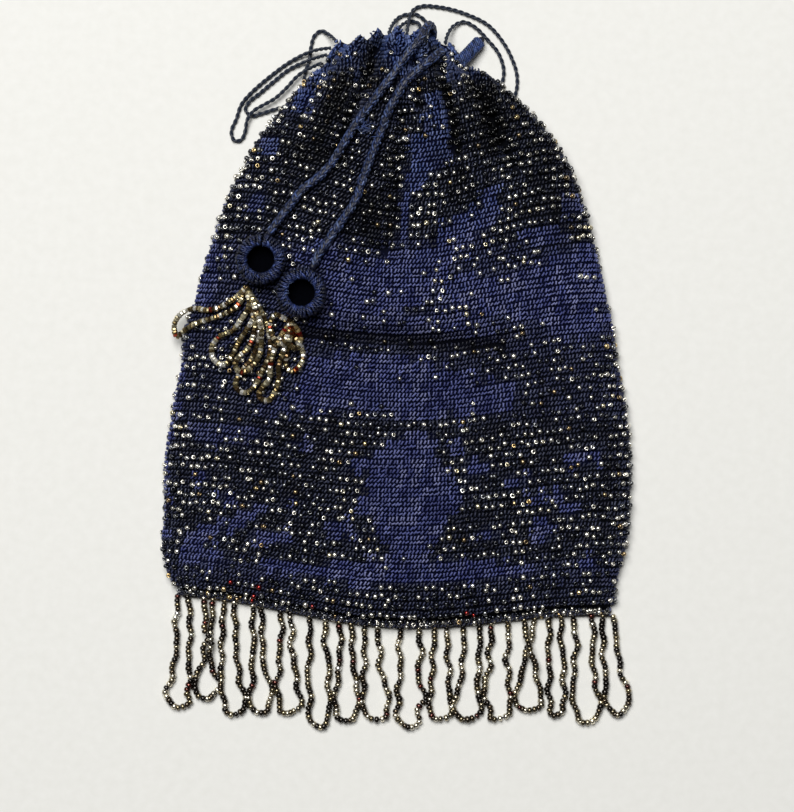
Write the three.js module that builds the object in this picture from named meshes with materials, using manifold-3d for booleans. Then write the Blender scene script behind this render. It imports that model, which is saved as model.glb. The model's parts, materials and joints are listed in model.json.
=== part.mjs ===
// A crocheted and beaded drawstring purse, lying flat on its back.
// Millimetres, +Z up, +Y from the hem towards the mouth, origin on the flat back.
import * as THREE from 'three';
import { LoftGeometry } from 'three/addons/geometries/LoftGeometry.js';
import { mergeVertices } from 'three/addons/utils/BufferGeometryUtils.js';
import Module from 'manifold-3d';

// Driving dimensions of the bag
const BAG_LENGTH = 243;
const BAG_WIDTH = 192;
const BODY_THICKNESS = 15.5;
const NECK_THICKNESS = 26;
const CLOTH_WALL = 2.5;
const GATHERED_WALL = 3.6;
const HEM_WALL = 4;
const PLEAT_DEPTH = 6;
const NECK_LIFT = 2.6;
const HEM_BELOW_ORIGIN = 100.9;

// Driving dimensions of what hangs on it
const BEAD = 2.1;
const FRINGE_LENGTH = 46;
const FRINGE_BAND = 2.4;
const DRAWCORD = 3.6;
const HANDLE_CORD = 1.7;
const CUP_OUTSIDE = 19.4;
const CUP_MOUTH = 11.6;
const CUP_HEIGHT = 9;
const CUP_FLOOR = 1.8;
const CUP_FOOT = 2.6;
const TASSEL_HEAD = 4.4;
const TOGGLE_LENGTH = 15;
const TOGGLE_THICKNESS = 5.4;
const GAP = 0.3;
const SLIVER = 0.06;

// How finely the shapes are faceted, and how the bag's section is rounded
const RING_POINTS = 48;
const CORD_SIDES = 8;
const STRING_SIDES = 6;
const BAND_SIDES = 4;
const STEP_DIAMETERS = 3;
const CUP_SIDES = 12;
const CROWN = 0.8;
const FLAT_FROM = 0.45;
const INNER_PLEAT = 0.6;
const EDGE_SHARE = 0.985;
const HEIGHT_PASSES = 8;
const SEAT_PLACES = 12;
const LIP_STEPS = 4;
const BAND_STEPS = 16;

// One row for each level of the bag, from the hem to the frilled top edge.
// up, sag and tilt are shares of the length, half of half the width and mid of the width.
// sag is how far the middle runs below the ends, tilt how far the right end runs below the left.
// body and neck are shares of the two thicknesses, edge is where front and back meet,
// and lift is the share of the room left under the neck.
const LEVELS = [
  { up: 0.008, half: 0.929, mid: -0.006, sag: 0.037, tilt: 0.017, body: 0.26, neck: 0, edge: 0.5, lift: 0 },
  { up: 0.016, half: 0.944, mid: -0.009, sag: 0.037, tilt: 0.016, body: 0.52, neck: 0, edge: 0.4, lift: 0 },
  { up: 0.034, half: 0.958, mid: -0.012, sag: 0.037, tilt: 0.015, body: 0.68, neck: 0, edge: 0.33, lift: 0 },
  { up: 0.06, half: 0.972, mid: -0.013, sag: 0.036, tilt: 0.013, body: 0.82, neck: 0, edge: 0.28, lift: 0 },
  { up: 0.094, half: 0.991, mid: -0.01, sag: 0.034, tilt: 0.01, body: 0.91, neck: 0, edge: 0.25, lift: 0 },
  { up: 0.145, half: 0.996, mid: -0.003, sag: 0.03, tilt: 0.007, body: 0.98, neck: 0, edge: 0.23, lift: 0 },
  { up: 0.24, half: 1, mid: 0, sag: 0.03, tilt: 0, body: 1, neck: 0, edge: 0.22, lift: 0 },
  { up: 0.348, half: 0.967, mid: 0.004, sag: 0.034, tilt: 0, body: 0.98, neck: 0, edge: 0.22, lift: 0 },
  { up: 0.407, half: 0.936, mid: 0.004, sag: 0.037, tilt: 0, body: 0.95, neck: 0.01, edge: 0.22, lift: 0 },
  { up: 0.474, half: 0.913, mid: 0.004, sag: 0.039, tilt: 0, body: 0.98, neck: 0.05, edge: 0.22, lift: 0 },
  { up: 0.508, half: 0.887, mid: 0.007, sag: 0.04, tilt: 0, body: 0.98, neck: 0.11, edge: 0.22, lift: 0 },
  { up: 0.558, half: 0.855, mid: 0.009, sag: 0.044, tilt: 0, body: 0.9, neck: 0.17, edge: 0.22, lift: 0 },
  { up: 0.614, half: 0.811, mid: 0.012, sag: 0.047, tilt: 0, body: 0.78, neck: 0.25, edge: 0.23, lift: 0 },
  { up: 0.668, half: 0.764, mid: 0.014, sag: 0.051, tilt: 0, body: 0.64, neck: 0.36, edge: 0.24, lift: 0 },
  { up: 0.722, half: 0.703, mid: 0.019, sag: 0.051, tilt: 0, body: 0.48, neck: 0.49, edge: 0.26, lift: 0.05 },
  { up: 0.773, half: 0.632, mid: 0.018, sag: 0.047, tilt: 0, body: 0.32, neck: 0.63, edge: 0.28, lift: 0.35 },
  { up: 0.815, half: 0.556, mid: 0.016, sag: 0.042, tilt: 0, body: 0.18, neck: 0.77, edge: 0.31, lift: 0.8 },
  { up: 0.854, half: 0.478, mid: 0.01, sag: 0.034, tilt: 0, body: 0.08, neck: 0.9, edge: 0.35, lift: 1 },
  { up: 0.891, half: 0.414, mid: 0.008, sag: 0.022, tilt: 0, body: 0.02, neck: 0.98, edge: 0.38, lift: 1 },
  { up: 0.921, half: 0.363, mid: 0.003, sag: 0.008, tilt: 0, body: 0, neck: 1, edge: 0.42, lift: 1 },
  { up: 0.941, half: 0.314, mid: -0.005, sag: -0.003, tilt: 0, body: 0, neck: 0.97, edge: 0.42, lift: 1 },
  { up: 0.962, half: 0.284, mid: -0.009, sag: -0.013, tilt: 0, body: 0, neck: 0.96, edge: 0.42, lift: 1 },
  { up: 0.98, half: 0.267, mid: -0.009, sag: -0.017, tilt: 0, body: 0, neck: 0.96, edge: 0.42, lift: 1 },
  { up: 0.995, half: 0.243, mid: -0.007, sag: -0.02, tilt: 0, body: 0, neck: 0.9, edge: 0.43, lift: 1 },
];

// Folds pressed into the front and the back, each a groove from one place to another.
// Places across are shares of half the width and up of the length, wide is a share of the width
// and deep of the pleat depth.
const FRONT_FOLDS = [
  { fromX: -0.04, fromUp: 1.01, toX: -0.25, toUp: 0.80, wide: 0.015, deep: 1.0 },
  { fromX: 0.16, fromUp: 1.01, toX: 0.25, toUp: 0.80, wide: 0.013, deep: 0.9 },
  { fromX: 0.28, fromUp: 0.94, toX: 0.49, toUp: 0.78, wide: 0.017, deep: 0.9 },
  { fromX: 0.03, fromUp: 0.85, toX: -0.04, toUp: 0.63, wide: 0.019, deep: 0.6 },
  { fromX: -0.19, fromUp: 1.01, toX: -0.42, toUp: 0.85, wide: 0.013, deep: 0.6 },
  { fromX: 0.06, fromUp: 1.01, toX: 0.09, toUp: 0.87, wide: 0.011, deep: 0.7 },
  { fromX: 0.21, fromUp: 0.97, toX: 0.38, toUp: 0.87, wide: 0.011, deep: 0.5 },
  { fromX: -0.11, fromUp: 1.02, toX: -0.14, toUp: 0.94, wide: 0.010, deep: 0.5 },
  { fromX: -0.42, fromUp: 0.49, toX: 0.44, toUp: 0.47, wide: 0.014, deep: 0.3 },
];
const BACK_FOLDS = [
  { fromX: -0.20, fromUp: 1.01, toX: -0.28, toUp: 0.83, wide: 0.014, deep: 0.5 },
  { fromX: 0.04, fromUp: 1.01, toX: 0.05, toUp: 0.82, wide: 0.014, deep: 0.6 },
  { fromX: 0.15, fromUp: 1.01, toX: 0.22, toUp: 0.83, wide: 0.013, deep: 0.5 },
];

// The fringe's loops: where both ends leave the hem and how wide the loop hangs, as shares of
// half the width, and how far it drops as a share of the fringe's length
const LOOPS = [
  { headLeft: -0.94, headRight: -0.90, footLeft: -0.98, footRight: -0.89, drop: 1.01 },
  { headLeft: -0.83, headRight: -0.79, footLeft: -0.86, footRight: -0.77, drop: 0.91 },
  { headLeft: -0.74, headRight: -0.70, footLeft: -0.75, footRight: -0.66, drop: 1.03 },
  { headLeft: -0.62, headRight: -0.59, footLeft: -0.63, footRight: -0.54, drop: 0.97 },
  { headLeft: -0.50, headRight: -0.46, footLeft: -0.52, footRight: -0.41, drop: 0.92 },
  { headLeft: -0.38, headRight: -0.31, footLeft: -0.38, footRight: -0.29, drop: 0.99 },
  { headLeft: -0.25, headRight: -0.20, footLeft: -0.27, footRight: -0.17, drop: 0.89 },
  { headLeft: -0.14, headRight: -0.09, footLeft: -0.15, footRight: -0.04, drop: 0.85 },
  { headLeft: 0.01, headRight: 0.09, footLeft: 0.00, footRight: 0.10, drop: 0.90 },
  { headLeft: 0.16, headRight: 0.21, footLeft: 0.13, footRight: 0.23, drop: 0.83 },
  { headLeft: 0.28, headRight: 0.35, footLeft: 0.25, footRight: 0.35, drop: 0.86 },
  { headLeft: 0.40, headRight: 0.47, footLeft: 0.38, footRight: 0.48, drop: 0.88 },
  { headLeft: 0.54, headRight: 0.59, footLeft: 0.51, footRight: 0.62, drop: 0.83 },
  { headLeft: 0.65, headRight: 0.70, footLeft: 0.65, footRight: 0.71, drop: 0.90 },
  { headLeft: 0.75, headRight: 0.83, footLeft: 0.76, footRight: 0.86, drop: 0.97 },
  { headLeft: 0.88, headRight: 0.92, footLeft: 0.89, footRight: 0.99, drop: 0.90 },
];

// The cups at the drawcords' ends and the places of their tassels' heads
const CUP_LEFT = [-55.1, 48.4];
const CUP_RIGHT = [-38.7, 34.9];
const HEAD_LEFT = [-61.3, 37.7];
const HEAD_RIGHT = [-43.0, 23.4];

// The rounding at a cup's foot and at the floor of its hollow, as shares of CUP_FOOT
const FOOT_CURVE = [
  { inwards: 1, up: 0 },
  { inwards: 0.25, up: 0.4 },
  { inwards: 0, up: 1.2 },
];
const HOLLOW_CURVE = [
  { inwards: 0, up: 0.4 },
  { inwards: 0.5, up: 0 },
];

// The outline of a fringe loop from its left end to its right one.
// down is a share of the drop. across is a share of the way to the foot's side, from where the
// end leaves the hem, and below LOW_LOOP from the middle between both sides.
const LOOP_OUTLINE = [
  { side: 'left', down: 0.30, across: 0.38 },
  { side: 'left', down: 0.65, across: 0.81 },
  { side: 'left', down: 0.88, across: 1 },
  { side: 'left', down: 0.97, across: 0.8 },
  { side: 'middle', down: 1, across: 1 },
  { side: 'right', down: 0.97, across: 0.8 },
  { side: 'right', down: 0.88, across: 1 },
  { side: 'right', down: 0.65, across: 0.81 },
  { side: 'right', down: 0.30, across: 0.38 },
];
const LOW_LOOP = 0.9;

// Where the toggle heads, and how far its root stands off the mouth's corner in radii
const TOGGLE_HEADING = [0.65, 0.7, -0.32];
const TOGGLE_ACROSS = 0.85;
const TOGGLE_UP = 0.55;

// The tassels' strings of beads, as places on the bag and the layer of the heap each lies in
const STRINGS = {
  left: [
    [[-65.0, 34.0, 0], [-71.1, 29.9, 0], [-77.3, 28.3, 0], [-83.0, 29.1, 0], [-88.8, 26.6, 0],
      [-91.2, 22.1, 0], [-90.0, 17.6, 0], [-87.1, 20.1, 0], [-81.0, 23.4, 0], [-75.2, 25.0, 0],
      [-68.7, 27.5, 0], [-64.6, 30.3, 0]],
    [[-60.1, 29.9, 1], [-62.5, 25.4, 1], [-67.0, 20.1, 0], [-72.8, 17.2, 0], [-75.6, 12.7, 0],
      [-74.4, 7.8, 0], [-70.3, 6.1, 0], [-67.0, 10.2, 0], [-64.6, 15.2, 0], [-60.9, 20.5, 1],
      [-58.4, 25.4, 1]],
    [[-57.6, 30.3, 2], [-57.6, 22.5, 1], [-58.8, 16.4, 1], [-61.3, 11.9, 1], [-64.6, 9.0, 1],
      [-65.8, 5.7, 1], [-63.3, 2.9, 1], [-58.8, 5.7, 1], [-56.0, 9.8, 1], [-55.1, 16.4, 1],
      [-55.6, 23.8, 2]],
    [[-58.8, 31.2, 0], [-56.0, 21.3, 0], [-58.0, 10.7, 0], [-62.1, 4.9, 0], [-65.4, 0.0, 0],
      [-65.4, -3.7, 0], [-61.7, -5.3, 0], [-57.6, -2.0, 0], [-54.7, 4.1, 0], [-51.9, 9.8, 0],
      [-51.9, 18.0, 0], [-54.7, 26.6, 0]],
  ],
  right: [
    [[-44.5, 17.2, 1], [-46.5, 10.7, 1], [-48.2, 5.3, 1], [-48.2, 0.4, 0], [-49.8, -5.3, 0],
      [-53.1, -8.6, 0], [-56.4, -6.6, 0], [-54.7, -2.9, 0], [-51.9, 0.4, 1], [-51.5, 5.7, 1],
      [-49.8, 12.3, 1], [-46.9, 18.0, 1]],
    [[-46.5, 25.0, 2], [-49.4, 26.2, 1], [-51.5, 23.0, 1], [-50.6, 17.6, 1], [-46.9, 14.3, 2],
      [-44.1, 18.0, 2]],
    [[-40.8, 20.5, 1], [-39.2, 16.8, 1], [-40.8, 12.7, 1], [-43.7, 14.3, 2], [-42.8, 19.3, 2]],
    [[-41.6, 17.2, 0], [-38.7, 12.3, 0], [-38.3, 8.2, 0], [-40.0, 5.3, 0], [-42.8, 3.3, 0],
      [-45.3, 5.7, 0], [-44.9, 10.7, 0], [-44.1, 15.6, 0]],
  ],
};

// Where the cords lie, chosen by hand
const ROUTES = {
  drawcord_left: [
    [14.0, 134.8, 11.2], [14.2, 138.8, 11.6], [14.0, 142.5, 16.2], [12.3, 142.6, 22.5],
    [8.4, 135.7, 26.3], [3.5, 130.0, 27.2], [-1.0, 123.0, 28.2], [-5.5, 117.3, 27.9],
    [-10.5, 110.7, 26.7], [-15.0, 105.0, 25.0], [-21.1, 95.9, 23.4], [-25.2, 89.0, 22.1],
    [-31.4, 82.0, 21.1], [-37.9, 77.1, 20.2], [-42.8, 71.3, 19.3], [-47.4, 65.2, 18.6],
    [-51.0, 60.3, 18.1], [-52.3, 58.4, 17.8],
  ],
  drawcord_right: [
    [17.8, 132.4, 22.6], [13.3, 128.3, 26.8], [8.8, 124.6, 27.4], [3.5, 119.7, 28.1],
    [-0.2, 113.6, 27.8], [-3.9, 107.0, 26.7], [-5.9, 101.3, 25.6], [-10.0, 91.0, 24.2],
    [-13.7, 81.6, 22.9], [-17.0, 72.2, 21.9], [-22.3, 64.0, 21.1], [-26.9, 57.8, 20.5],
    [-31.0, 51.7, 20.0], [-34.7, 44.8, 19.6],
  ],
  handle_cord_left: [
    [-27.2, 135.2, 10], [-31.8, 135.2, 6], [-36.7, 134.3, 2.9], [-44.1, 130.8, 1.1],
    [-53.1, 124.2, 1.1], [-60.1, 118.1, 1.1], [-64.2, 113.2, 1.1], [-66.2, 107.4, 1.1],
    [-68.3, 102.1, 1.1], [-67.0, 98.4, 1.1], [-64.2, 98.8, 1.1], [-62.5, 102.5, 1.7],
    [-61.7, 106.6, 2.9], [-59.2, 110.3, 2.9], [-55.1, 112.8, 2.9], [-50.2, 115.6, 2.9],
    [-45.3, 120.1, 2.9], [-41.6, 124.2, 2.9], [-38.3, 126.7, 2.9], [-34.8, 128.1, 5],
    [-30.9, 129.2, 9.5],
  ],
  handle_cord_middle: [
    [-28.9, 132.4, 10], [-32.4, 132.0, 6], [-36.3, 131.2, 2.9], [-44.1, 127.9, 1.1],
    [-51.0, 122.6, 1.1], [-56.8, 117.7, 1.1], [-60.9, 114.4, 1.1], [-62.5, 111.1, 1.1],
    [-60.1, 108.6, 1.1], [-56.0, 109.5, 1.1], [-51.0, 111.1, 1.1], [-46.5, 112.3, 1.1],
    [-42.4, 113.6, 1.1], [-39.6, 116.4, 1.1], [-38.7, 120.9, 1.1], [-37.9, 126.3, 1.1],
    [-36.3, 131.6, 1.1], [-35.5, 136.9, 1.1], [-34.2, 141.4, 1.1], [-31.4, 143.5, 1.1],
    [-28.0, 141.5, 3.5], [-24.8, 137.7, 10],
  ],
  handle_cord_right: [
    [3.5, 137.8, 11.5], [3.9, 141.9, 11], [4.3, 145.1, 8], [4.7, 147.6, 5.2], [5.5, 150.3, 3.1],
    [7.2, 152.7, 1.3], [10.9, 153.8, 1.1], [15.8, 153.5, 1.1], [21.5, 152.5, 1.1],
    [28.5, 150.3, 1.1], [37.1, 146.0, 1.1], [43.3, 139.0, 1.1], [46.9, 132.4, 1.1],
    [49.0, 125.9, 1.1], [49.0, 119.7, 1.1], [47.4, 115.2, 1.1], [44.5, 112.3, 1.1],
    [41.6, 113.2, 1.1], [40.8, 116.8, 1.1], [42.8, 121.4, 1.1], [43.7, 127.1, 1.1],
    [41.6, 134.1, 1.1], [36.7, 140.2, 1.1], [31.8, 145.1, 1.1], [27.3, 147.2, 1.1],
    [23.2, 145.5, 2.5], [20.5, 141.4, 6], [19.4, 137.1, 10],
  ],
  handle_cord_arches: [
    [-3.9, 136.9, 12], [-3.5, 141.0, 11], [-2.3, 145.1, 6], [0.2, 148.8, 1.2], [3.9, 150.3, 1.1],
    [8.0, 150.1, 1.1], [10.9, 148.0, 1.5], [12.1, 144.7, 6], [11.7, 140.6, 11], [10.9, 136.9, 12],
    [8.4, 133.7, 12], [4.3, 133.2, 12], [1.0, 135.3, 12], [-0.2, 138.6, 11.5], [0.2, 142.3, 9],
    [1.8, 145.5, 4.5], [5.1, 147.4, 1.5], [8.0, 146.8, 2], [9.2, 144.3, 6], [8.8, 140.6, 10.5],
  ],
};

const mix = (a, b, share) => a + (b - a) * share;

// A level's shares as lengths
function levelSizes(row) {
  const top = row.body * BODY_THICKNESS + row.neck * NECK_THICKNESS;
  const lift = row.lift * NECK_LIFT;
  return {
    y: row.up * BAG_LENGTH - HEM_BELOW_ORIGIN,
    centre: row.mid * BAG_WIDTH,
    half: row.half * BAG_WIDTH / 2,
    sag: row.sag * BAG_LENGTH,
    tilt: row.tilt * BAG_LENGTH,
    wall: mix(CLOTH_WALL, GATHERED_WALL, row.lift),
    top,
    lift,
    middle: mix(lift, top, row.edge),
  };
}

const levels = LEVELS.map(levelSizes);
const HEM_ROUND = 0.003 * BAG_LENGTH;

// How far the cloth is pressed in at a place, by the deepest of the given folds
function pressedIn(folds, x, y) {
  let depth = 0;
  for (const fold of folds) {
    const from = new THREE.Vector2(
      fold.fromX * BAG_WIDTH / 2, fold.fromUp * BAG_LENGTH - HEM_BELOW_ORIGIN);
    const to = new THREE.Vector2(
      fold.toX * BAG_WIDTH / 2, fold.toUp * BAG_LENGTH - HEM_BELOW_ORIGIN);
    const place = new THREE.Vector2(x, y);
    const along = to.clone().sub(from);
    const share = THREE.MathUtils.clamp(
      place.clone().sub(from).dot(along) / along.lengthSq(), 0, 1);
    const away = place.distanceTo(from.clone().addScaledVector(along, share));
    const groove = Math.exp(-((away / (fold.wide * BAG_WIDTH)) ** 2));
    depth = Math.max(depth, fold.deep * PLEAT_DEPTH * groove);
  }
  return depth;
}

// How far a level's line lies above its middle, at a share of its half width
const rise = (level, share) =>
  level.sag * (1 - Math.cos(Math.PI * share)) / 2 - level.tilt * share;

// Height of the front above the floor, where round is the sine of the turn round the section
const frontZ = (level, round, x, y, inset) =>
  level.middle + (level.top - inset - level.middle) * round ** CROWN
  - pressedIn(FRONT_FOLDS, x, y) * Math.min(1, 2 * round) * (inset > 0 ? INNER_PLEAT : 1);

// Height of the back, flat where it lies
function backZ(level, round, x, y, inset) {
  const reach = Math.min(round / FLAT_FROM, 1);
  const bottom = level.lift + inset;
  const curved = level.middle - (level.middle - bottom) * Math.sqrt(1 - (1 - reach) ** 2);
  const pleat = pressedIn(BACK_FOLDS, x, y) * level.lift / NECK_LIFT;
  return curved + pleat * reach * (inset > 0 ? INNER_PLEAT : 1);
}

// A ring round the bag at one level, on the outside or set in by the wall
function ring(level, inset) {
  const points = [];
  for (let i = 0; i < RING_POINTS; i++) {
    const turn = 2 * Math.PI * i / RING_POINTS;
    const x = level.centre - (level.half - inset) * Math.cos(turn);
    const y = level.y + rise(level, (x - level.centre) / level.half);
    const round = Math.abs(Math.sin(turn));
    const side = i <= RING_POINTS / 2 ? frontZ : backZ;
    points.push(new THREE.Vector3(x, y, side(level, round, x, y, inset)));
  }
  return points;
}

// A ring pressed flat and moved down, so that front and back meet in one line
const seam = (level, inset, down) => ring(level, inset).map(
  (point) => new THREE.Vector3(point.x, point.y - down, level.middle));

// The bag: up its outside, over the top edge and down its inside, closed at hem and floor
function bag() {
  const outside = levels.map((level) => ring(level, 0));
  const inside = levels
    .filter((level, i) => i === 2 || (i > 2 && (levels.length - 1 - i) % 2 === 0))
    .map((level) => ring(level, level.wall));
  const hem = seam(levels[0], 0, HEM_ROUND);
  const floor = seam(levels[1], CLOTH_WALL, levels[1].y - levels[0].y + HEM_ROUND - HEM_WALL);
  return new LoftGeometry([hem, ...outside, ...inside.reverse(), floor], { closed: true });
}

// A level between two rows of the table
function levelAt(y) {
  let i = 0;
  while (i < levels.length - 2 && levels[i + 1].y < y) i++;
  const share = THREE.MathUtils.clamp((y - levels[i].y) / (levels[i + 1].y - levels[i].y), 0, 1);
  const between = {};
  for (const size in levels[i]) between[size] = mix(levels[i][size], levels[i + 1][size], share);
  return between;
}

// The bag's front surface above a place, found by following the level line through it
function frontHeight(x, y) {
  let level = levelAt(y);
  let share = 0;
  for (let pass = 0; pass < HEIGHT_PASSES; pass++) {
    share = THREE.MathUtils.clamp((x - level.centre) / level.half, -EDGE_SHARE, EDGE_SHARE);
    level = levelAt(y - rise(level, share));
  }
  return frontZ(level, Math.sqrt(1 - share * share), x, y, 0);
}

// The highest place of the front under a round foot
function seatHeight(x, y, radius) {
  let highest = frontHeight(x, y);
  for (let i = 0; i < SEAT_PLACES; i++) {
    const turn = 2 * Math.PI * i / SEAT_PLACES;
    const around = frontHeight(x + radius * Math.cos(turn), y + radius * Math.sin(turn));
    highest = Math.max(highest, around);
  }
  return highest;
}

// A round cord or string along points, closed at both ends
function tube(points, diameter, sides = CORD_SIDES, stepDiameters = STEP_DIAMETERS) {
  const route = new THREE.CatmullRomCurve3(points, false, 'centripetal');
  const corners = [];
  for (let i = 0; i < sides; i++) {
    const turn = 2 * Math.PI * (i + 0.5) / sides;
    corners.push(new THREE.Vector2(
      diameter / 2 * Math.cos(turn), diameter / 2 * Math.sin(turn)));
  }
  const steps = Math.max(3, Math.round(route.getLength() / (stepDiameters * diameter)));
  return new THREE.ExtrudeGeometry(
    new THREE.Shape(corners), { steps, bevelEnabled: false, extrudePath: route });
}

const cord = (name) =>
  tube(ROUTES[name].map((point) => new THREE.Vector3(...point)),
    name.startsWith('drawcord') ? DRAWCORD : HANDLE_CORD);

// A crocheted cup with a thick round rim, standing mouth up
function cup([x, y]) {
  const outside = CUP_OUTSIDE / 2;
  const mouth = CUP_MOUTH / 2;
  const lip = (outside - mouth) / 2;
  const profile = [new THREE.Vector2(0, 0)];
  for (const { inwards, up } of FOOT_CURVE) {
    profile.push(new THREE.Vector2(outside - inwards * CUP_FOOT, up * CUP_FOOT));
  }
  for (let i = 0; i <= LIP_STEPS; i++) {
    const turn = Math.PI * i / LIP_STEPS;
    profile.push(new THREE.Vector2(
      mouth + lip + lip * Math.cos(turn), CUP_HEIGHT - lip + lip * Math.sin(turn)));
  }
  for (const { inwards, up } of HOLLOW_CURVE) {
    profile.push(new THREE.Vector2(mouth - inwards * CUP_FOOT, CUP_FLOOR + up * CUP_FOOT));
  }
  profile.push(new THREE.Vector2(0, CUP_FLOOR));
  const geometry = new THREE.LatheGeometry(profile, CUP_SIDES);
  geometry.rotateX(Math.PI / 2);
  geometry.translate(x, y, seatHeight(x, y, outside - CUP_FOOT) + GAP);
  return geometry;
}

// Joining closed meshes into one solid
const wasm = await Module();
wasm.setup();

function solid(geometry) {
  const bare = geometry.clone();
  bare.deleteAttribute('normal');
  bare.deleteAttribute('uv');
  const closed = mergeVertices(bare, 1e-3);
  return new wasm.Manifold(new wasm.Mesh({
    numProp: 3,
    vertProperties: new Float32Array(closed.attributes.position.array),
    triVerts: new Uint32Array(closed.index.array),
  }));
}

// The outer shell of a solid, with any small pocket in it filled
function filled(whole) {
  const outer = whole.decompose().reduce(
    (largest, shell) => (shell.volume() > largest.volume() ? shell : largest));
  const mesh = outer.getMesh();
  const geometry = new THREE.BufferGeometry();
  geometry.setAttribute('position', new THREE.BufferAttribute(mesh.vertProperties, 3));
  geometry.setIndex(new THREE.BufferAttribute(mesh.triVerts, 1));
  return geometry;
}

// Pieces fused into one body, with slivers smoothed out, filled again once corners have merged
function joined(geometries) {
  const whole = geometries.map(solid).reduce((sum, piece) => sum.add(piece));
  return filled(solid(filled(whole.asOriginal().simplify(SLIVER))));
}

// A tassel: a round head beside its cup and looped strings of beads, fused to it
function tassel([headX, headY], strings) {
  const inHead = TASSEL_HEAD / 4;
  const head = new THREE.Vector3(
    headX, headY, seatHeight(headX, headY, inHead) + GAP + TASSEL_HEAD / 2);
  const ball = new THREE.IcosahedronGeometry(TASSEL_HEAD / 2, 1);
  ball.translate(head.x, head.y, head.z);
  const towards = (place) => head.clone().add(place.clone().sub(head).setLength(inHead));
  const loops = strings.map((places) => {
    const lying = places.map(([x, y, layer]) => new THREE.Vector3(
      x, y, seatHeight(x, y, BEAD / 2) + GAP + BEAD / 2 + layer * (BEAD + GAP)));
    return tube(
      [towards(lying[0]), ...lying, towards(lying[lying.length - 1])], BEAD, STRING_SIDES);
  });
  return joined([ball, ...loops]);
}

// The line just below the hem that the fringe's band follows
function bandPlace(x) {
  const level = levels[0];
  const share = (x - level.centre) / level.half;
  return new THREE.Vector3(
    x, level.y + rise(level, share) - HEM_ROUND - GAP - FRINGE_BAND / 2, FRINGE_BAND / 2);
}

// The fringe: hanging loops of beads on the table, fused to a band along the hem
function fringe() {
  const halfWidth = BAG_WIDTH / 2;
  const { centre, half } = levels[0];
  const bandPoints = [];
  for (let i = 0; i <= BAND_STEPS; i++) {
    bandPoints.push(bandPlace(centre + half * mix(-EDGE_SHARE, EDGE_SHARE, i / BAND_STEPS)));
  }
  const loops = LOOPS.map((loop) => {
    const head = {
      left: bandPlace(loop.headLeft * halfWidth),
      right: bandPlace(loop.headRight * halfWidth),
    };
    const foot = {
      left: loop.footLeft * halfWidth,
      right: loop.footRight * halfWidth,
      middle: (loop.footLeft + loop.footRight) * halfWidth / 2,
    };
    const top = mix(head.left.y, head.right.y, 0.5);
    const places = LOOP_OUTLINE.map(({ side, down, across }) => {
      const start = down > LOW_LOOP || side === 'middle' ? foot.middle : head[side].x;
      return new THREE.Vector3(
        mix(start, foot[side], across), top - down * loop.drop * FRINGE_LENGTH, BEAD / 2);
    });
    return tube([head.left, ...places, head.right], BEAD, STRING_SIDES);
  });
  return joined([tube(bandPoints, FRINGE_BAND * Math.SQRT2, BAND_SIDES), ...loops]);
}

// The short covered stub at the right of the mouth, sloping down to the table
function toggle() {
  const anchor = levels[levels.length - 3];
  const radius = TOGGLE_THICKNESS / 2;
  const heading = new THREE.Vector3(...TOGGLE_HEADING).normalize();
  const root = new THREE.Vector3(
    anchor.centre + anchor.half + GAP + TOGGLE_ACROSS * radius,
    anchor.y + rise(anchor, 1) + TOGGLE_UP * radius,
    radius - heading.z * (TOGGLE_LENGTH - TOGGLE_THICKNESS));
  const geometry = new THREE.CapsuleGeometry(radius, TOGGLE_LENGTH - TOGGLE_THICKNESS, 3, 12);
  geometry.translate(0, (TOGGLE_LENGTH - TOGGLE_THICKNESS) / 2, 0);
  geometry.applyQuaternion(new THREE.Quaternion().setFromUnitVectors(
    new THREE.Vector3(0, 1, 0), heading));
  geometry.translate(root.x, root.y, root.z);
  return geometry;
}

const cotton = { color: 0x26315a, roughness: 0.85, metalness: 0 };
const darkCotton = { color: 0x1c2430, roughness: 0.8, metalness: 0 };
const darkBeads = { color: 0x6b6252, roughness: 0.3, metalness: 0.8 };
const goldBeads = { color: 0xa8905c, roughness: 0.25, metalness: 0.9 };

function piece(name, geometry, finish) {
  const mesh = new THREE.Mesh(geometry, new THREE.MeshStandardMaterial(finish));
  mesh.name = name;
  return mesh;
}

const purse = new THREE.Group();
purse.add(
  piece('bag', bag(), cotton),
  piece('fringe', fringe(), darkBeads),
  piece('cup_left', cup(CUP_LEFT), cotton),
  piece('cup_right', cup(CUP_RIGHT), cotton),
  piece('tassel_left', tassel(HEAD_LEFT, STRINGS.left), goldBeads),
  piece('tassel_right', tassel(HEAD_RIGHT, STRINGS.right), goldBeads),
  piece('toggle', toggle(), cotton),
);
for (const name in ROUTES) {
  purse.add(piece(name, cord(name), name.startsWith('drawcord') ? cotton : darkCotton));
}

export default purse;
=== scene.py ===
"""Looks of a crocheted and beaded drawstring purse, lying flat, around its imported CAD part."""

import json
import math

import bmesh
import bpy
import numpy as np
from mathutils import Matrix, Vector

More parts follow.
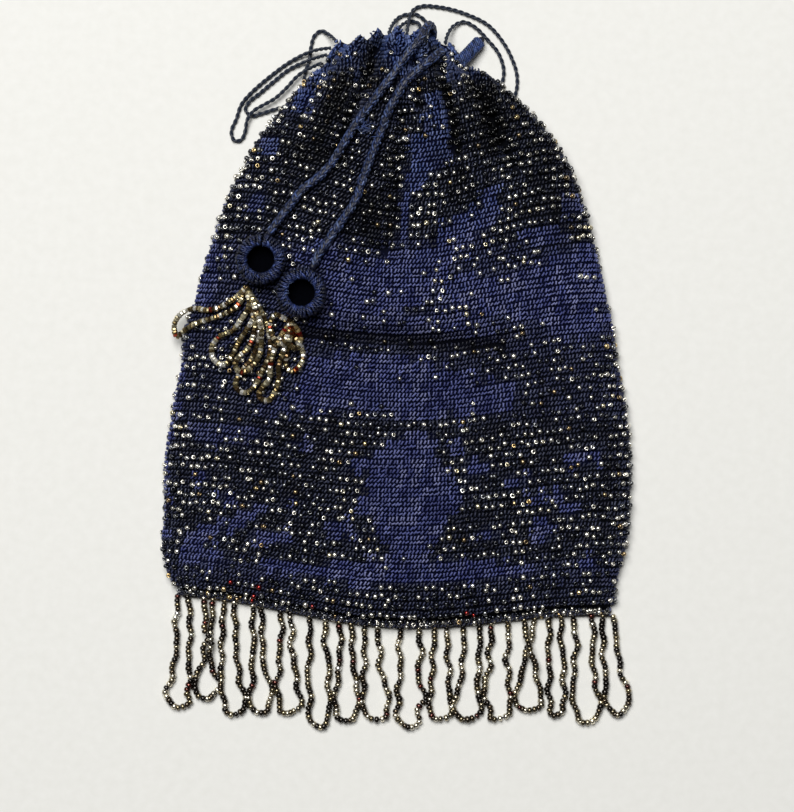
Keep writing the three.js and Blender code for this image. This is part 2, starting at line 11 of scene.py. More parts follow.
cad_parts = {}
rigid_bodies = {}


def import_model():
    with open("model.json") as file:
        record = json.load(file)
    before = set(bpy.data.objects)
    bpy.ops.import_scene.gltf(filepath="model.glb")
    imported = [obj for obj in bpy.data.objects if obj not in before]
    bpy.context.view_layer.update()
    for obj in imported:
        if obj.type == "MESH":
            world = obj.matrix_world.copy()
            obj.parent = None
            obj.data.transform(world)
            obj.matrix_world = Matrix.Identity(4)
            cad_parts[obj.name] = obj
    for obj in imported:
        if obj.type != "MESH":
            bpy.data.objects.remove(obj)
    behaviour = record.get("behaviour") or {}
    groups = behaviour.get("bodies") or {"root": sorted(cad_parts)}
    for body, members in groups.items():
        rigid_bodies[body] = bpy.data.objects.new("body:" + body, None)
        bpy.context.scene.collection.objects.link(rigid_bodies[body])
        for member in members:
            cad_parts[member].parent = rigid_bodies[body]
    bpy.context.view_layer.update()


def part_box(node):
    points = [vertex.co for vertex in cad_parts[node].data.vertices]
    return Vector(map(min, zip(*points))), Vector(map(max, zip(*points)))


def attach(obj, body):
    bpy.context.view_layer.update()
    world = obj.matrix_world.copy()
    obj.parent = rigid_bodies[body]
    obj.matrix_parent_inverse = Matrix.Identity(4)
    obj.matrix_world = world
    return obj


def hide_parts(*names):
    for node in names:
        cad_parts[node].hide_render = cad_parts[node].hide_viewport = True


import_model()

MM = 0.001
TAU = 2 * math.pi

# Sizes in millimetres, the same as in the part's source
BAG_LENGTH = 243
BAG_WIDTH = 192
BODY_THICKNESS = 15.5
NECK_THICKNESS = 26
GATHERED_WALL = 3.6
PLEAT_DEPTH = 6
NECK_LIFT = 2.6
HEM_BELOW_ORIGIN = 100.9
BEAD = 2.1
FRINGE_LENGTH = 46
FRINGE_BAND = 2.4
DRAWCORD = 3.6
HANDLE_CORD = 1.7
CUP_OUTSIDE = 19.4
CUP_MOUTH = 11.6
CUP_HEIGHT = 9
CUP_FLOOR = 1.8
TOGGLE_THICKNESS = 5.4
GAP = 0.3
CROWN = 0.8
FLAT_FROM = 0.45
HALF_WIDTH = BAG_WIDTH / 2

# Where the levels below begin and end, and where the stitches are split into two pieces
HEM_LEVEL = 0.008
MOUTH_LEVEL = 0.995
SPLIT_LEVEL = 0.42

# Sizes of the handwork in millimetres. The cloth's ground lies under the yarn, and in the folds
# the yarn is sunk and its strokes are smaller by a share
STITCH = 3.05
ROW = 3.85
YARN_HALF = 0.52
CLOTH_SINK = 1.15
FOLD_SINK = 0.1
FOLD_THINS = 0.12
FRINGE_PITCH = 1.72
FRINGE_BEAD = 2.75
TASSEL_BEAD = 2.45
TASSEL_PITCH = 1.25
THREAD_HALF = 0.3

# The cups' padded rims, and the yarn over them: how far round the rim each stroke lies, from
# outside to inside, and how much of its light it gets
RIM_HALF = (CUP_OUTSIDE - CUP_MOUTH) / 4
RIM_MIDDLE = (CUP_OUTSIDE + CUP_MOUTH) / 4
RIM_HEIGHT = CUP_HEIGHT - RIM_HALF
YARN_PAD = 0.35
CUP_PIN = 0.3
RIM_STROKES = (
    (-0.25, 0.16),
    (0.3, 0.22),
    (0.85, 0.34),
    (1.4, 0.55),
    (1.95, 0.8),
    (2.5, 0.85),
    (3.05, 0.3),
)

# The beads' sections as shares of their radius: how far out and how high
SEED_SECTION = ((0.80, -0.70), (0.98, -0.26), (0.98, 0.26), (0.80, 0.70), (0.42, 0.55), (0.42, -0.55))
CUT_SECTION = ((0.86, -0.5), (1.00, 0.0), (0.86, 0.5), (0.30, 0.42), (0.30, -0.42))

# The view and the light: millimetres for the camera and how far the floor is below the purse,
# pixels for the image, metres for the floor and the softbox
SENSOR = 36
CAMERA_HEIGHT = 1100
EDGE_HEIGHT = 4
IMAGE_HEIGHT = 812
VIEW_CENTRE = (-0.2, -10.7)
FLOOR_HALF = 3
FLOOR_BELOW = 0.15
SOFTBOX_PLACE = (-0.4, 0.95, 2.3)
SOFTBOX_SIZE = 1.45
SOFTBOX_WATTS = 82
ROOM_LIGHT = 0.07

# The bag's levels from the hem to the mouth: up, sag and tilt are shares of the length, half of
# half the width, mid of the width, body and neck of the two thicknesses, edge is where front
# and back meet and lift the share of the room under the neck
LEVEL_COLUMNS = ("up", "half", "mid", "sag", "tilt", "body", "neck", "edge", "lift")
LEVELS = (
    (0.008, 0.929, -0.006, 0.037, 0.017, 0.26, 0, 0.5, 0),
    (0.016, 0.944, -0.009, 0.037, 0.016, 0.52, 0, 0.4, 0),
    (0.034, 0.958, -0.012, 0.037, 0.015, 0.68, 0, 0.33, 0),
    (0.060, 0.972, -0.013, 0.036, 0.013, 0.82, 0, 0.28, 0),
    (0.094, 0.991, -0.010, 0.034, 0.010, 0.91, 0, 0.25, 0),
    (0.145, 0.996, -0.003, 0.030, 0.007, 0.98, 0, 0.23, 0),
    (0.240, 1.000, 0.000, 0.030, 0, 1.00, 0, 0.22, 0),
    (0.348, 0.967, 0.004, 0.034, 0, 0.98, 0, 0.22, 0),
    (0.407, 0.936, 0.004, 0.037, 0, 0.95, 0.01, 0.22, 0),
    (0.474, 0.913, 0.004, 0.039, 0, 0.98, 0.05, 0.22, 0),
    (0.508, 0.887, 0.007, 0.040, 0, 0.98, 0.11, 0.22, 0),
    (0.558, 0.855, 0.009, 0.044, 0, 0.90, 0.17, 0.22, 0),
    (0.614, 0.811, 0.012, 0.047, 0, 0.78, 0.25, 0.23, 0),
    (0.668, 0.764, 0.014, 0.051, 0, 0.64, 0.36, 0.24, 0),
    (0.722, 0.703, 0.019, 0.051, 0, 0.48, 0.49, 0.26, 0.05),
    (0.773, 0.632, 0.018, 0.047, 0, 0.32, 0.63, 0.28, 0.35),
    (0.815, 0.556, 0.016, 0.042, 0, 0.18, 0.77, 0.31, 0.80),
    (0.854, 0.478, 0.010, 0.034, 0, 0.08, 0.90, 0.35, 1),
    (0.891, 0.414, 0.008, 0.022, 0, 0.02, 0.98, 0.38, 1),
    (0.921, 0.363, 0.003, 0.008, 0, 0, 1.00, 0.42, 1),
    (0.941, 0.314, -0.005, -0.003, 0, 0, 0.97, 0.42, 1),
    (0.962, 0.284, -0.009, -0.013, 0, 0, 0.96, 0.42, 1),
    (0.980, 0.267, -0.009, -0.017, 0, 0, 0.96, 0.42, 1),
    (0.995, 0.243, -0.007, -0.020, 0, 0, 0.90, 0.43, 1),
)

# Folds pressed into front and back: where each starts and ends, as shares of half the width and of
# the length, how wide as a share of the width and how deep as a share of PLEAT_DEPTH
FRONT_FOLDS = (
    (-0.04, 1.01, -0.25, 0.80, 0.015, 1.15),
    (0.16, 1.01, 0.25, 0.80, 0.013, 1.05),
    (0.28, 0.94, 0.49, 0.78, 0.017, 1.0),
    (0.03, 0.85, -0.04, 0.63, 0.019, 0.6),
    (-0.19, 1.01, -0.42, 0.85, 0.013, 0.7),
    (0.06, 1.01, 0.09, 0.87, 0.011, 0.8),
    (0.21, 0.97, 0.38, 0.87, 0.011, 0.6),
    (-0.11, 1.02, -0.14, 0.94, 0.010, 0.5),
    (-0.42, 0.49, 0.44, 0.47, 0.014, 0.35),
)
BACK_FOLDS = (
    (-0.20, 1.01, -0.28, 0.83, 0.014, 0.5),
    (0.04, 1.01, 0.05, 0.82, 0.014, 0.6),
    (0.15, 1.01, 0.22, 0.83, 0.013, 0.5),
)

# The fringe's loops: where both ends leave the hem and how wide the loop hangs, as shares of half
# the width, how far it drops as a share of the fringe's length, and whether its strands cross
LOOP_COLUMNS = ("head_left", "head_right", "foot_left", "foot_right", "drop", "crosses")
LOOPS = (
    (-0.94, -0.90, -0.98, -0.89, 1.01, 0),
    (-0.83, -0.79, -0.86, -0.77, 0.91, 1),
    (-0.74, -0.70, -0.75, -0.66, 1.03, 0),
    (-0.62, -0.59, -0.63, -0.54, 0.97, 0),
    (-0.50, -0.46, -0.52, -0.41, 0.92, 0),
    (-0.38, -0.31, -0.38, -0.29, 0.99, 0),
    (-0.25, -0.20, -0.27, -0.17, 0.89, 0),
    (-0.14, -0.09, -0.15, -0.04, 0.85, 0),
    (0.01, 0.09, 0.00, 0.10, 0.90, 0),
    (0.16, 0.21, 0.13, 0.23, 0.83, 0),
    (0.28, 0.35, 0.25, 0.35, 0.86, 0),
    (0.40, 0.47, 0.38, 0.48, 0.88, 0),
    (0.54, 0.59, 0.51, 0.62, 0.83, 1),
    (0.65, 0.70, 0.65, 0.71, 0.90, 0),
    (0.75, 0.83, 0.76, 0.86, 0.97, 0),
    (0.88, 0.92, 0.89, 0.99, 0.90, 0),
)

# One side of a loop from its head down: how far down as a share of its drop, and how far across
# towards the side where it hangs. Below LOW_LOOP that is counted from the loop's middle
LOOP_SIDE = (
    (0.22, 0.15),
    (0.48, 0.45),
    (0.72, 0.85),
    (0.86, 1),
    (0.945, 0.84),
    (0.988, 0.45),
)
LOW_LOOP = 0.9

# Where a loop's strands cross, the right one lies this much higher down to this share of the loop
CROSSING_LIFT = 2.2
CROSSING_ENDS = 0.6

# The two rows of beads sewn over the band that the fringe hangs from, as steps off its line
HEM_BEAD_ROWS = ((0, 0.5, 1.2), (0, 1.9, 2.6))

# The middles of the cups and of the tassels' heads, and the worn place where the drawcords meet
CUPS = {"cup_left": (-55.1, 48.4), "cup_right": (-38.7, 34.9)}
HEADS = {"left": (-61.3, 37.7), "right": (-43.0, 23.4)}
WORN_PLACE = (-13.0, 100.6, 26.2)
WORN_SPREAD = (1.6, 1.5, 0.3)

# The tassels' strings, as places on the bag and the layer of the heap each lies in
STRINGS = {
    "left": (
        ((-65.0, 34.0, 0), (-71.1, 29.9, 0), (-77.3, 28.3, 0), (-83.0, 29.1, 0), (-88.8, 26.6, 0),
         (-91.2, 22.1, 0), (-90.0, 17.6, 0), (-87.1, 20.1, 0), (-81.0, 23.4, 0), (-75.2, 25.0, 0),
         (-68.7, 27.5, 0), (-64.6, 30.3, 0)),
        ((-60.1, 29.9, 1), (-62.5, 25.4, 1), (-67.0, 20.1, 0), (-72.8, 17.2, 0), (-75.6, 12.7, 0),
         (-74.4, 7.8, 0), (-70.3, 6.1, 0), (-67.0, 10.2, 0), (-64.6, 15.2, 0), (-60.9, 20.5, 1),
         (-58.4, 25.4, 1)),
        ((-57.6, 30.3, 2), (-57.6, 22.5, 1), (-58.8, 16.4, 1), (-61.3, 11.9, 1), (-64.6, 9.0, 1),
         (-65.8, 5.7, 1), (-63.3, 2.9, 1), (-58.8, 5.7, 1), (-56.0, 9.8, 1), (-55.1, 16.4, 1),
         (-55.6, 23.8, 2)),
        ((-58.8, 31.2, 0), (-56.0, 21.3, 0), (-58.0, 10.7, 0), (-62.1, 4.9, 0), (-65.4, 0.0, 0),
         (-65.4, -3.7, 0), (-61.7, -5.3, 0), (-57.6, -2.0, 0), (-54.7, 4.1, 0), (-51.9, 9.8, 0),
         (-51.9, 18.0, 0), (-54.7, 26.6, 0)),
    ),
    "right": (
        ((-44.5, 17.2, 1), (-46.5, 10.7, 1), (-48.2, 5.3, 1), (-48.2, 0.4, 0), (-49.8, -5.3, 0),
         (-53.1, -8.6, 0), (-56.4, -6.6, 0), (-54.7, -2.9, 0), (-51.9, 0.4, 1), (-51.5, 5.7, 1),
         (-49.8, 12.3, 1), (-46.9, 18.0, 1)),
        ((-46.5, 25.0, 2), (-49.4, 26.2, 1), (-51.5, 23.0, 1), (-50.6, 17.6, 1), (-46.9, 14.3, 2),
         (-44.1, 18.0, 2)),
        ((-40.8, 20.5, 1), (-39.2, 16.8, 1), (-40.8, 12.7, 1), (-43.7, 14.3, 2), (-42.8, 19.3, 2)),
        ((-41.6, 17.2, 0), (-38.7, 12.3, 0), (-38.3, 8.2, 0), (-40.0, 5.3, 0), (-42.8, 3.3, 0),
         (-45.3, 5.7, 0), (-44.9, 10.7, 0), (-44.1, 15.6, 0)),
    ),
}

# Where the cords lie, from the mouth on
ROUTES = {
    "drawcord_left": (
        (14.0, 134.8, 11.2), (14.2, 138.8, 11.6), (14.0, 142.5, 16.2), (12.3, 142.6, 22.5),
        (8.4, 135.7, 26.3), (3.5, 130.0, 27.2), (-1.0, 123.0, 28.2), (-5.5, 117.3, 27.9),
        (-10.5, 110.7, 26.7), (-15.0, 105.0, 25.0), (-21.1, 95.9, 23.4), (-25.2, 89.0, 22.1),
        (-31.4, 82.0, 21.1), (-37.9, 77.1, 20.2), (-42.8, 71.3, 19.3), (-47.4, 65.2, 18.6),
        (-51.0, 60.3, 18.1), (-52.3, 58.4, 17.8),
    ),
    "drawcord_right": (
        (17.8, 132.4, 22.6), (13.3, 128.3, 26.8), (8.8, 124.6, 27.4), (3.5, 119.7, 28.1),
        (-0.2, 113.6, 27.8), (-3.9, 107.0, 26.7), (-5.9, 101.3, 25.6), (-10.0, 91.0, 24.2),
        (-13.7, 81.6, 22.9), (-17.0, 72.2, 21.9), (-22.3, 64.0, 21.1), (-26.9, 57.8, 20.5),
        (-31.0, 51.7, 20.0), (-34.7, 44.8, 19.6),
    ),
    "handle_cord_left": (
        (-27.2, 135.2, 10), (-31.8, 135.2, 6), (-36.7, 134.3, 2.9), (-44.1, 130.8, 1.1),
        (-53.1, 124.2, 1.1), (-60.1, 118.1, 1.1), (-64.2, 113.2, 1.1), (-66.2, 107.4, 1.1),
        (-68.3, 102.1, 1.1), (-67.0, 98.4, 1.1), (-64.2, 98.8, 1.1), (-62.5, 102.5, 1.7),
        (-61.7, 106.6, 2.9), (-59.2, 110.3, 2.9), (-55.1, 112.8, 2.9), (-50.2, 115.6, 2.9),
        (-45.3, 120.1, 2.9), (-41.6, 124.2, 2.9), (-38.3, 126.7, 2.9), (-34.8, 128.1, 5),
        (-30.9, 129.2, 9.5),
    ),
    "handle_cord_middle": (
        (-28.9, 132.4, 10), (-32.4, 132.0, 6), (-36.3, 131.2, 2.9), (-44.1, 127.9, 1.1),
        (-51.0, 122.6, 1.1), (-56.8, 117.7, 1.1), (-60.9, 114.4, 1.1), (-62.5, 111.1, 1.1),
        (-60.1, 108.6, 1.1), (-56.0, 109.5, 1.1), (-51.0, 111.1, 1.1), (-46.5, 112.3, 1.1),
        (-42.4, 113.6, 1.1), (-39.6, 116.4, 1.1), (-38.7, 120.9, 1.1), (-37.9, 126.3, 1.1),
        (-36.3, 131.6, 1.1), (-35.5, 136.9, 1.1), (-34.2, 141.4, 1.1), (-31.4, 143.5, 1.1),
        (-28.0, 141.5, 3.5), (-24.8, 137.7, 10),
    ),
    "handle_cord_right": (
        (3.5, 137.8, 11.5), (3.9, 141.9, 11), (4.3, 145.1, 8), (4.7, 147.6, 5.2),
        (5.5, 150.3, 3.1), (7.2, 152.7, 1.3), (10.9, 153.8, 1.1), (15.8, 153.5, 1.1),
        (21.5, 152.5, 1.1), (28.5, 150.3, 1.1), (37.1, 146.0, 1.1), (43.3, 139.0, 1.1),
        (46.9, 132.4, 1.1), (49.0, 125.9, 1.1), (49.0, 119.7, 1.1), (47.4, 115.2, 1.1),
        (44.5, 112.3, 1.1), (41.6, 113.2, 1.1), (40.8, 116.8, 1.1), (42.8, 121.4, 1.1),
        (43.7, 127.1, 1.1), (41.6, 134.1, 1.1), (36.7, 140.2, 1.1), (31.8, 145.1, 1.1),
        (27.3, 147.2, 1.1), (23.2, 145.5, 2.5), (20.5, 141.4, 6), (19.4, 137.1, 10),
    ),
    "handle_cord_arches": (
        (-3.9, 136.9, 12), (-3.5, 141.0, 11), (-2.3, 145.1, 6), (0.2, 148.8, 1.2),
        (3.9, 150.3, 1.1), (8.0, 150.1, 1.1), (10.9, 148.0, 1.5), (12.1, 144.7, 6),
        (11.7, 140.6, 11), (10.9, 136.9, 12), (8.4, 133.7, 12), (4.3, 133.2, 12),
        (1.0, 135.3, 12), (-0.2, 138.6, 11.5), (0.2, 142.3, 9), (1.8, 145.5, 4.5),
        (5.1, 147.4, 1.5), (8.0, 146.8, 2), (9.2, 144.3, 6), (8.8, 140.6, 10.5),
    ),
}

# The bead pattern, charted from above in pixels of 0.41 mm, with y downwards
PIXEL = 0.41
ORIGIN_PIXEL = (397.5, 380)

# The share of stitches that still carry a bead where the cloth is left plain, and the outline
PLAIN_AREAS = (
    (0.05, ((259, 138), (278, 138), (277, 158), (262, 156))),
    (0.25, ((247, 193), (267, 195), (265, 219), (250, 214))),
    (0.02, ((228, 190), (212, 227), (205, 255), (195, 277), (189, 309), (216, 309), (221, 266), (217, 232),
            (224, 207))),
    (0.10, ((278, 248), (300, 250), (322, 240), (340, 250), (330, 268), (318, 268), (300, 262))),
    (0.10, ((320, 282), (345, 262), (372, 256), (400, 252), (400, 318), (362, 316), (326, 316))),
    (0.30, ((306, 316), (400, 316), (400, 345), (306, 345))),
    (0.05, ((412, 145), (452, 142), (453, 158), (428, 178), (412, 200), (404, 240), (400, 272), (396, 240),
            (404, 200), (406, 170))),
    (0.08, ((463, 213), (498, 184), (499, 219), (478, 240), (450, 266), (436, 296), (400, 316), (400, 262),
            (425, 246))),
    (0.02, ((501, 280), (547, 260), (575, 244), (594, 241), (602, 266), (605, 301), (568, 322), (540, 327),
            (498, 315), (467, 313), (442, 310), (442, 287), (467, 272), (487, 280))),
    (0.05, ((519, 230), (561, 226), (574, 236), (540, 246), (519, 240))),
    (0.20, ((559, 192), (583, 196), (586, 214), (566, 219))),
    (0.22, ((400, 316), (480, 316), (500, 330), (500, 345), (400, 345))),
    (0.05, ((545, 328), (606, 305), (612, 330), (560, 342))),
    (0.03, ((178, 358), (170, 410), (162, 446), (160, 542), (168, 540), (169, 476), (175, 410),
            (188, 370))),
    (0.08, ((306, 362), (345, 350), (400, 356), (455, 372), (516, 385), (516, 403), (488, 415), (400, 417),
            (370, 410), (300, 412), (290, 390))),
    (0.04, ((187, 536), (193, 526), (231, 518), (260, 502), (268, 509), (243, 526), (215, 541),
            (193, 548))),
    (0.06, ((180, 548), (230, 546), (232, 566), (182, 566))),
    (0.03, ((255, 531), (293, 530), (293, 542), (257, 543))),
    (0.03, ((324, 519), (351, 518), (353, 539), (328, 540))),
    (0.01, ((400, 431), (433, 434), (437, 453), (446, 473), (463, 493), (450, 519), (433, 547), (400, 559),
            (387, 551), (381, 534), (374, 519), (356, 514), (361, 498), (369, 473), (347, 474), (349, 459),
            (372, 455))),
    (0.03, ((260, 559), (309, 563), (400, 556), (516, 561), (541, 567), (516, 578), (446, 582), (359, 586),
            (318, 577), (260, 571))),
    (0.10, ((220, 493), (236, 490), (234, 506), (221, 507))),
    (0.10, ((196, 472), (212, 473), (211, 484), (197, 484))),
    (0.05, ((296, 440), (311, 440), (311, 449), (297, 449))),
    (0.05, ((283, 497), (297, 497), (297, 507), (284, 507))),
    (0.05, ((450, 438), (463, 438), (463, 453), (451, 453))),
    (0.05, ((465, 458), (490, 458), (489, 474), (467, 474))),
    (0.10, ((503, 474), (527, 474), (526, 487), (504, 486))),
    (0.12, ((526, 490), (563, 490), (562, 501), (528, 501))),
    (0.06, ((563, 452), (600, 453), (599, 467), (564, 466))),
    (0.08, ((480, 525), (499, 525), (498, 537), (481, 537))),
    (0.04, ((531, 518), (550, 518), (549, 540), (532, 540))),
    (0.10, ((560, 503), (577, 503), (576, 517), (561, 517))),
    (0.10, ((579, 558), (597, 558), (596, 568), (580, 568))),
    (0.35, ((190, 425), (262, 428), (262, 445), (196, 442))),
    (0.35, ((262, 395), (300, 398), (296, 415), (262, 415))),
    (0.05, ((293, 103), (316, 73), (328, 73), (322, 84), (312, 103), (307, 115), (296, 113))),
    (0.15, ((424, 100), (440, 98), (448, 120), (449, 150), (424, 150))),
    (0.05, ((468, 74), (482, 70), (490, 82), (484, 90), (472, 88))),
    (0.03, ((384, 44), (412, 44), (414, 60), (404, 78), (388, 74))),
)

# Lines along which the cloth sinks into a pleat or lies in its own shade, how wide the dark is
# there in the same pixels, and how deep as a share
SHADES = (
    (((371, 54), (371, 80)), 15, 0.94),
    (((344, 82), (338, 112)), 14, 0.9),
    (((332, 112), (316, 160)), 11, 0.8),
    (((372, 206), (372, 244)), 15, 0.72),
    (((433, 54), (435, 88)), 9, 0.88),
    (((440, 88), (454, 120), (456, 152)), 8, 0.85),
    (((480, 88), (488, 112), (494, 140)), 21, 0.93),
    (((392, 150), (390, 240)), 7, 0.6),
    (((300, 152), (335, 164)), 17, 0.7),
    (((300, 334), (400, 340), (500, 346)), 9, 0.86),
    (((512, 110), (540, 160), (566, 236)), 18, 0.45),
    (((440, 160), (470, 200)), 12, 0.45),
)

# Places of the tassels with amber beads and how far they reach, and single red beads by the hem
AMBER_SPOTS = ((299, 334, 8), (281, 328, 8), (297, 368, 5), (247, 384, 4))
RED_BEADS = ((228, 583), (252, 598), (262, 589), (316, 604), (470, 612))
RED_REACH = 5

# Lines along which every stitch carries one of the brighter beads
BRIGHT_LINES = (
    ((422, 203), (422, 226)),
    ((418, 226), (426, 226)),
    ((437, 266), (437, 332)),
    ((467, 291), (467, 325)),
    ((442, 308), (460, 308)),
    ((450, 243), (460, 250), (455, 262)),
    ((486, 235), (487, 246)),
    ((300, 205), (314, 207)),
    ((298, 224), (300, 236), (310, 240), (322, 232), (322, 222)),
    ((306, 214), (318, 214)),
    ((340, 172), (352, 178), (346, 190), (353, 200)),
    ((236, 160), (240, 172), (250, 190), (236, 205)),
    ((229, 218), (224, 240), (233, 247), (226, 262)),
    ((501, 280), (512, 270), (525, 262), (530, 250)),
    ((502, 215), (506, 228), (504, 244)),
    ((522, 222), (540, 206), (552, 200)),
    ((566, 234), (576, 238), (590, 226)),
    ((578, 282), (592, 274)),
    ((470, 404), (476, 404)),
    ((430, 420), (452, 421)),
    ((323, 427), (342, 427)),
    ((346, 488), (348, 512), (352, 520)),
    ((310, 520), (312, 530)),
    ((328, 550), (344, 551), (376, 548)),
    ((450, 456), (458, 464), (457, 476)),
    ((462, 487), (474, 488)),
    ((505, 448), (506, 466)),
    ((477, 513), (488, 498), (500, 504), (512, 490)),
    ((528, 510), (548, 508), (552, 498)),
    ((517, 520), (518, 556)),
    ((454, 522), (450, 544)),
    ((536, 445), (542, 440)),
    ((568, 400), (570, 412), (580, 418)),
    ((572, 476), (582, 476)),
    ((600, 406), (612, 400)),
    ((175, 414), (178, 430), (190, 428)),
    ((208, 452), (214, 458), (224, 454)),
    ((166, 460), (166, 470)),
    ((228, 486), (230, 500), (210, 508), (214, 516)),
)

# Bands of the front from top to bottom in the same pixels, and the share of their stitches that
# carry a bead
BEADED_BANDS = (
    (0, 60, 0.02),
    (60, 85, 0.5),
    (85, 240, 0.93),
    (240, 330, 0.6),
    (330, 352, 0.6),
    (352, 420, 0.72),
    (420, 560, 0.9),
    (560, 582, 0.66),
    (582, 640, 0.8),
)
BACK_SHARE = 0.42

# How far a bead's stitch is at least from a drawcord's line and a cup's middle, in millimetres
CLEAR_OF_CORD = 2.6
CLEAR_OF_CUP = 10.5

# The strokes of yarn that one stitch shows: how far they lean in radians, where they lie aside as a
# share of the stitch and above its middle in millimetres, half their length as a share of the
# stitch, and how thick they are as a share of the yarn
FRONT_STROKES = (
    (0.55, -0.25, 0.95, 0.33, 0.98),
    (0.55, 0.25, 0.95, 0.33, 0.98),
    (0.22, -0.25, -0.95, 0.31, 0.94),
    (0.22, 0.25, -0.95, 0.31, 0.94),
)
BACK_STROKES = (
    (0.55, -0.25, 0.95, 0.33, 0.98),
    (0.55, 0.25, 0.95, 0.33, 0.98),
    (0.05, 0.0, -0.95, 0.52, 0.94),
)

# The colours of yarn and beads, each with the share of pieces that have it
PLAIN_COTTON = (("#535b96", 4), ("#666da4", 4), ("#7d82b2", 2), ("#3c437c", 2))
NECK_COTTON = (("#3c5088", 4), ("#4c6098", 4), ("#6576a8", 2), ("#2c3d70", 2))
# Darker, greyer yarn where the stitches carry beads: the yarn's own navy with painted shade of the beads
# over it; the hem's edging is worked in it too
BEADED_COTTON = (("#262b44", 4), ("#30354e", 3), ("#3b4056", 2), ("#1a1d32", 3))
CORD_COLOURS = (("#253258", 4), ("#354672", 3), ("#536288", 1.5), ("#17203c", 2.5))
CUP_COLOURS = (("#222f5e", 4), ("#303f76", 3), ("#46588f", 1.2), ("#131c3d", 3))
TOGGLE_COLOURS = (("#2c3f70", 4), ("#3d5290", 3), ("#4c6498", 1), ("#1d2a4c", 3))
FIBRE_COLOURS = (("#4b62a0", 4), ("#7c8db8", 2), ("#36497f", 3))
SEED_COLOURS = (
    ("#e6e2d8", 6), ("#b9b6ac", 5), ("#77787a", 4), ("#2e3038", 6), ("#d8bd86", 0.35), ("#8f7a58", 0.8))
BRIGHT_COLOURS = (("#f8f5ea", 4), ("#eadfbd", 2), ("#d9d3c2", 2))
FRINGE_COLOURS = (
    ("#74694f", 5), ("#4a3f2e", 4.5), ("#a39980", 3.5), ("#261f17", 5), ("#ddd5c0", 3.5), ("#54261b", 0.7))
BRASS_COLOURS = (
    ("#d6cba9", 4), ("#998c68", 4), ("#f8f3e4", 4), ("#6e5f3f", 4), ("#55442d", 3), ("#7c2c18", 0.5))
AMBER_COLOURS = (("#8a5426", 3), ("#7c1a16", 2), ("#5e2c14", 3), ("#cdb27a", 4))
RED_COLOUR = "#8c1a14"
# The cloth's ground deep between the stitches: painted shade, nearly black, navy under plain yarn and
# blacker where the stitches carry beads
PLAIN_GROUND = "#080d2c"
BEADED_GROUND = "#06080f"
CORE_COLOUR = "#0d1228"
HANDLE_CORD_COLOUR = "#1c2638"


def eased(at, column):
    """The value of a column of LEVELS at some levels, on one smooth curve through its rows."""
    ups = np.array([row[0] for row in LEVELS])
    values = np.array([row[LEVEL_COLUMNS.index(column)] for row in LEVELS], float)
    slopes = np.gradient(values, ups)
    i = np.clip(np.searchsorted(ups, at, side="right") - 1, 0, len(ups) - 2)
    step = ups[i + 1] - ups[i]
    t = np.clip((at - ups[i]) / step, 0, 1)
    start = (1 + 2 * t) * (1 - t) ** 2 * values[i] + t * (1 - t) ** 2 * step * slopes[i]
    return start + t * t * (3 - 2 * t) * values[i + 1] + t * t * (t - 1) * step * slopes[i + 1]


def pressed_in(folds, x, y):
    """How far the cloth is pressed in at some places by the deepest of the folds."""
    depth = np.zeros_like(x)
    for from_x, from_up, to_x, to_up, wide, deep in folds:
        start = np.array((from_x * HALF_WIDTH, from_up * BAG_LENGTH - HEM_BELOW_ORIGIN))
        along = np.array((to_x * HALF_WIDTH, to_up * BAG_LENGTH - HEM_BELOW_ORIGIN)) - start
        share = ((x - start[0]) * along[0] + (y - start[1]) * along[1]) / (along @ along)
        share = np.clip(share, 0, 1)
        away = np.hypot(x - start[0] - share * along[0], y - start[1] - share * along[1])
        depth = np.maximum(depth, deep * PLEAT_DEPTH * np.exp(-((away / (wide * BAG_WIDTH)) ** 2)))
    return depth


def gathers(up, across):
    """Fine gathers that fan out from the neck and fade over the shoulders, in millimetres."""
    deepest, from_level, fade = 1.1, 0.74, 0.14
    strength = deepest * np.clip((up - from_level) / fade, 0, 1) ** 1.5
    wave = np.sin(31 * across + 3 * np.sin(5 * across)) * 0.5 + np.sin(17 * across + 1.3) * 0.5
    return strength * wave


def bag_place(up, turn, sink=0.0):
    """Places on the bag, for levels and turns: 0 to pi goes over the front, pi to 2 pi under."""
    frill_height, frill_from, frill_fade = 1.6, 0.93, 0.06
    up = np.asarray(up, float)
    turn = np.asarray(turn, float)
    size = {name: eased(up, name) for name in LEVEL_COLUMNS[1:]}
    half = size["half"] * HALF_WIDTH
    centre = size["mid"] * BAG_WIDTH
    top = size["body"] * BODY_THICKNESS + size["neck"] * NECK_THICKNESS
    lift = np.clip(size["lift"], 0, 1) * NECK_LIFT
    middle = lift + (top - lift) * size["edge"]
    x = centre - (half - sink) * np.cos(turn)
    across = (x - centre) / half
    rise = size["sag"] * BAG_LENGTH * (1 - np.cos(math.pi * across)) / 2
    y = up * BAG_LENGTH - HEM_BELOW_ORIGIN + rise - size["tilt"] * BAG_LENGTH * across
    frill = frill_height * np.clip((up - frill_from) / frill_fade, 0, 1)
    y = y + frill * np.sin(19 * across + 0.6)
    around = np.abs(np.sin(turn))
    front = middle + (top - sink - middle) * around ** CROWN
    edge_fade = np.minimum(1, 2 * around)
    front = front - (pressed_in(FRONT_FOLDS, x, y) - gathers(up, across)) * edge_fade
    reach = np.minimum(around / FLAT_FROM, 1)
    back = middle - (middle - lift - sink) * np.sqrt(1 - (1 - reach) ** 2)
    back = back + pressed_in(BACK_FOLDS, x, y) * lift / NECK_LIFT * reach
    z = np.where(np.sin(turn) >= 0, front, back)
    return np.stack((x, y, z), -1)


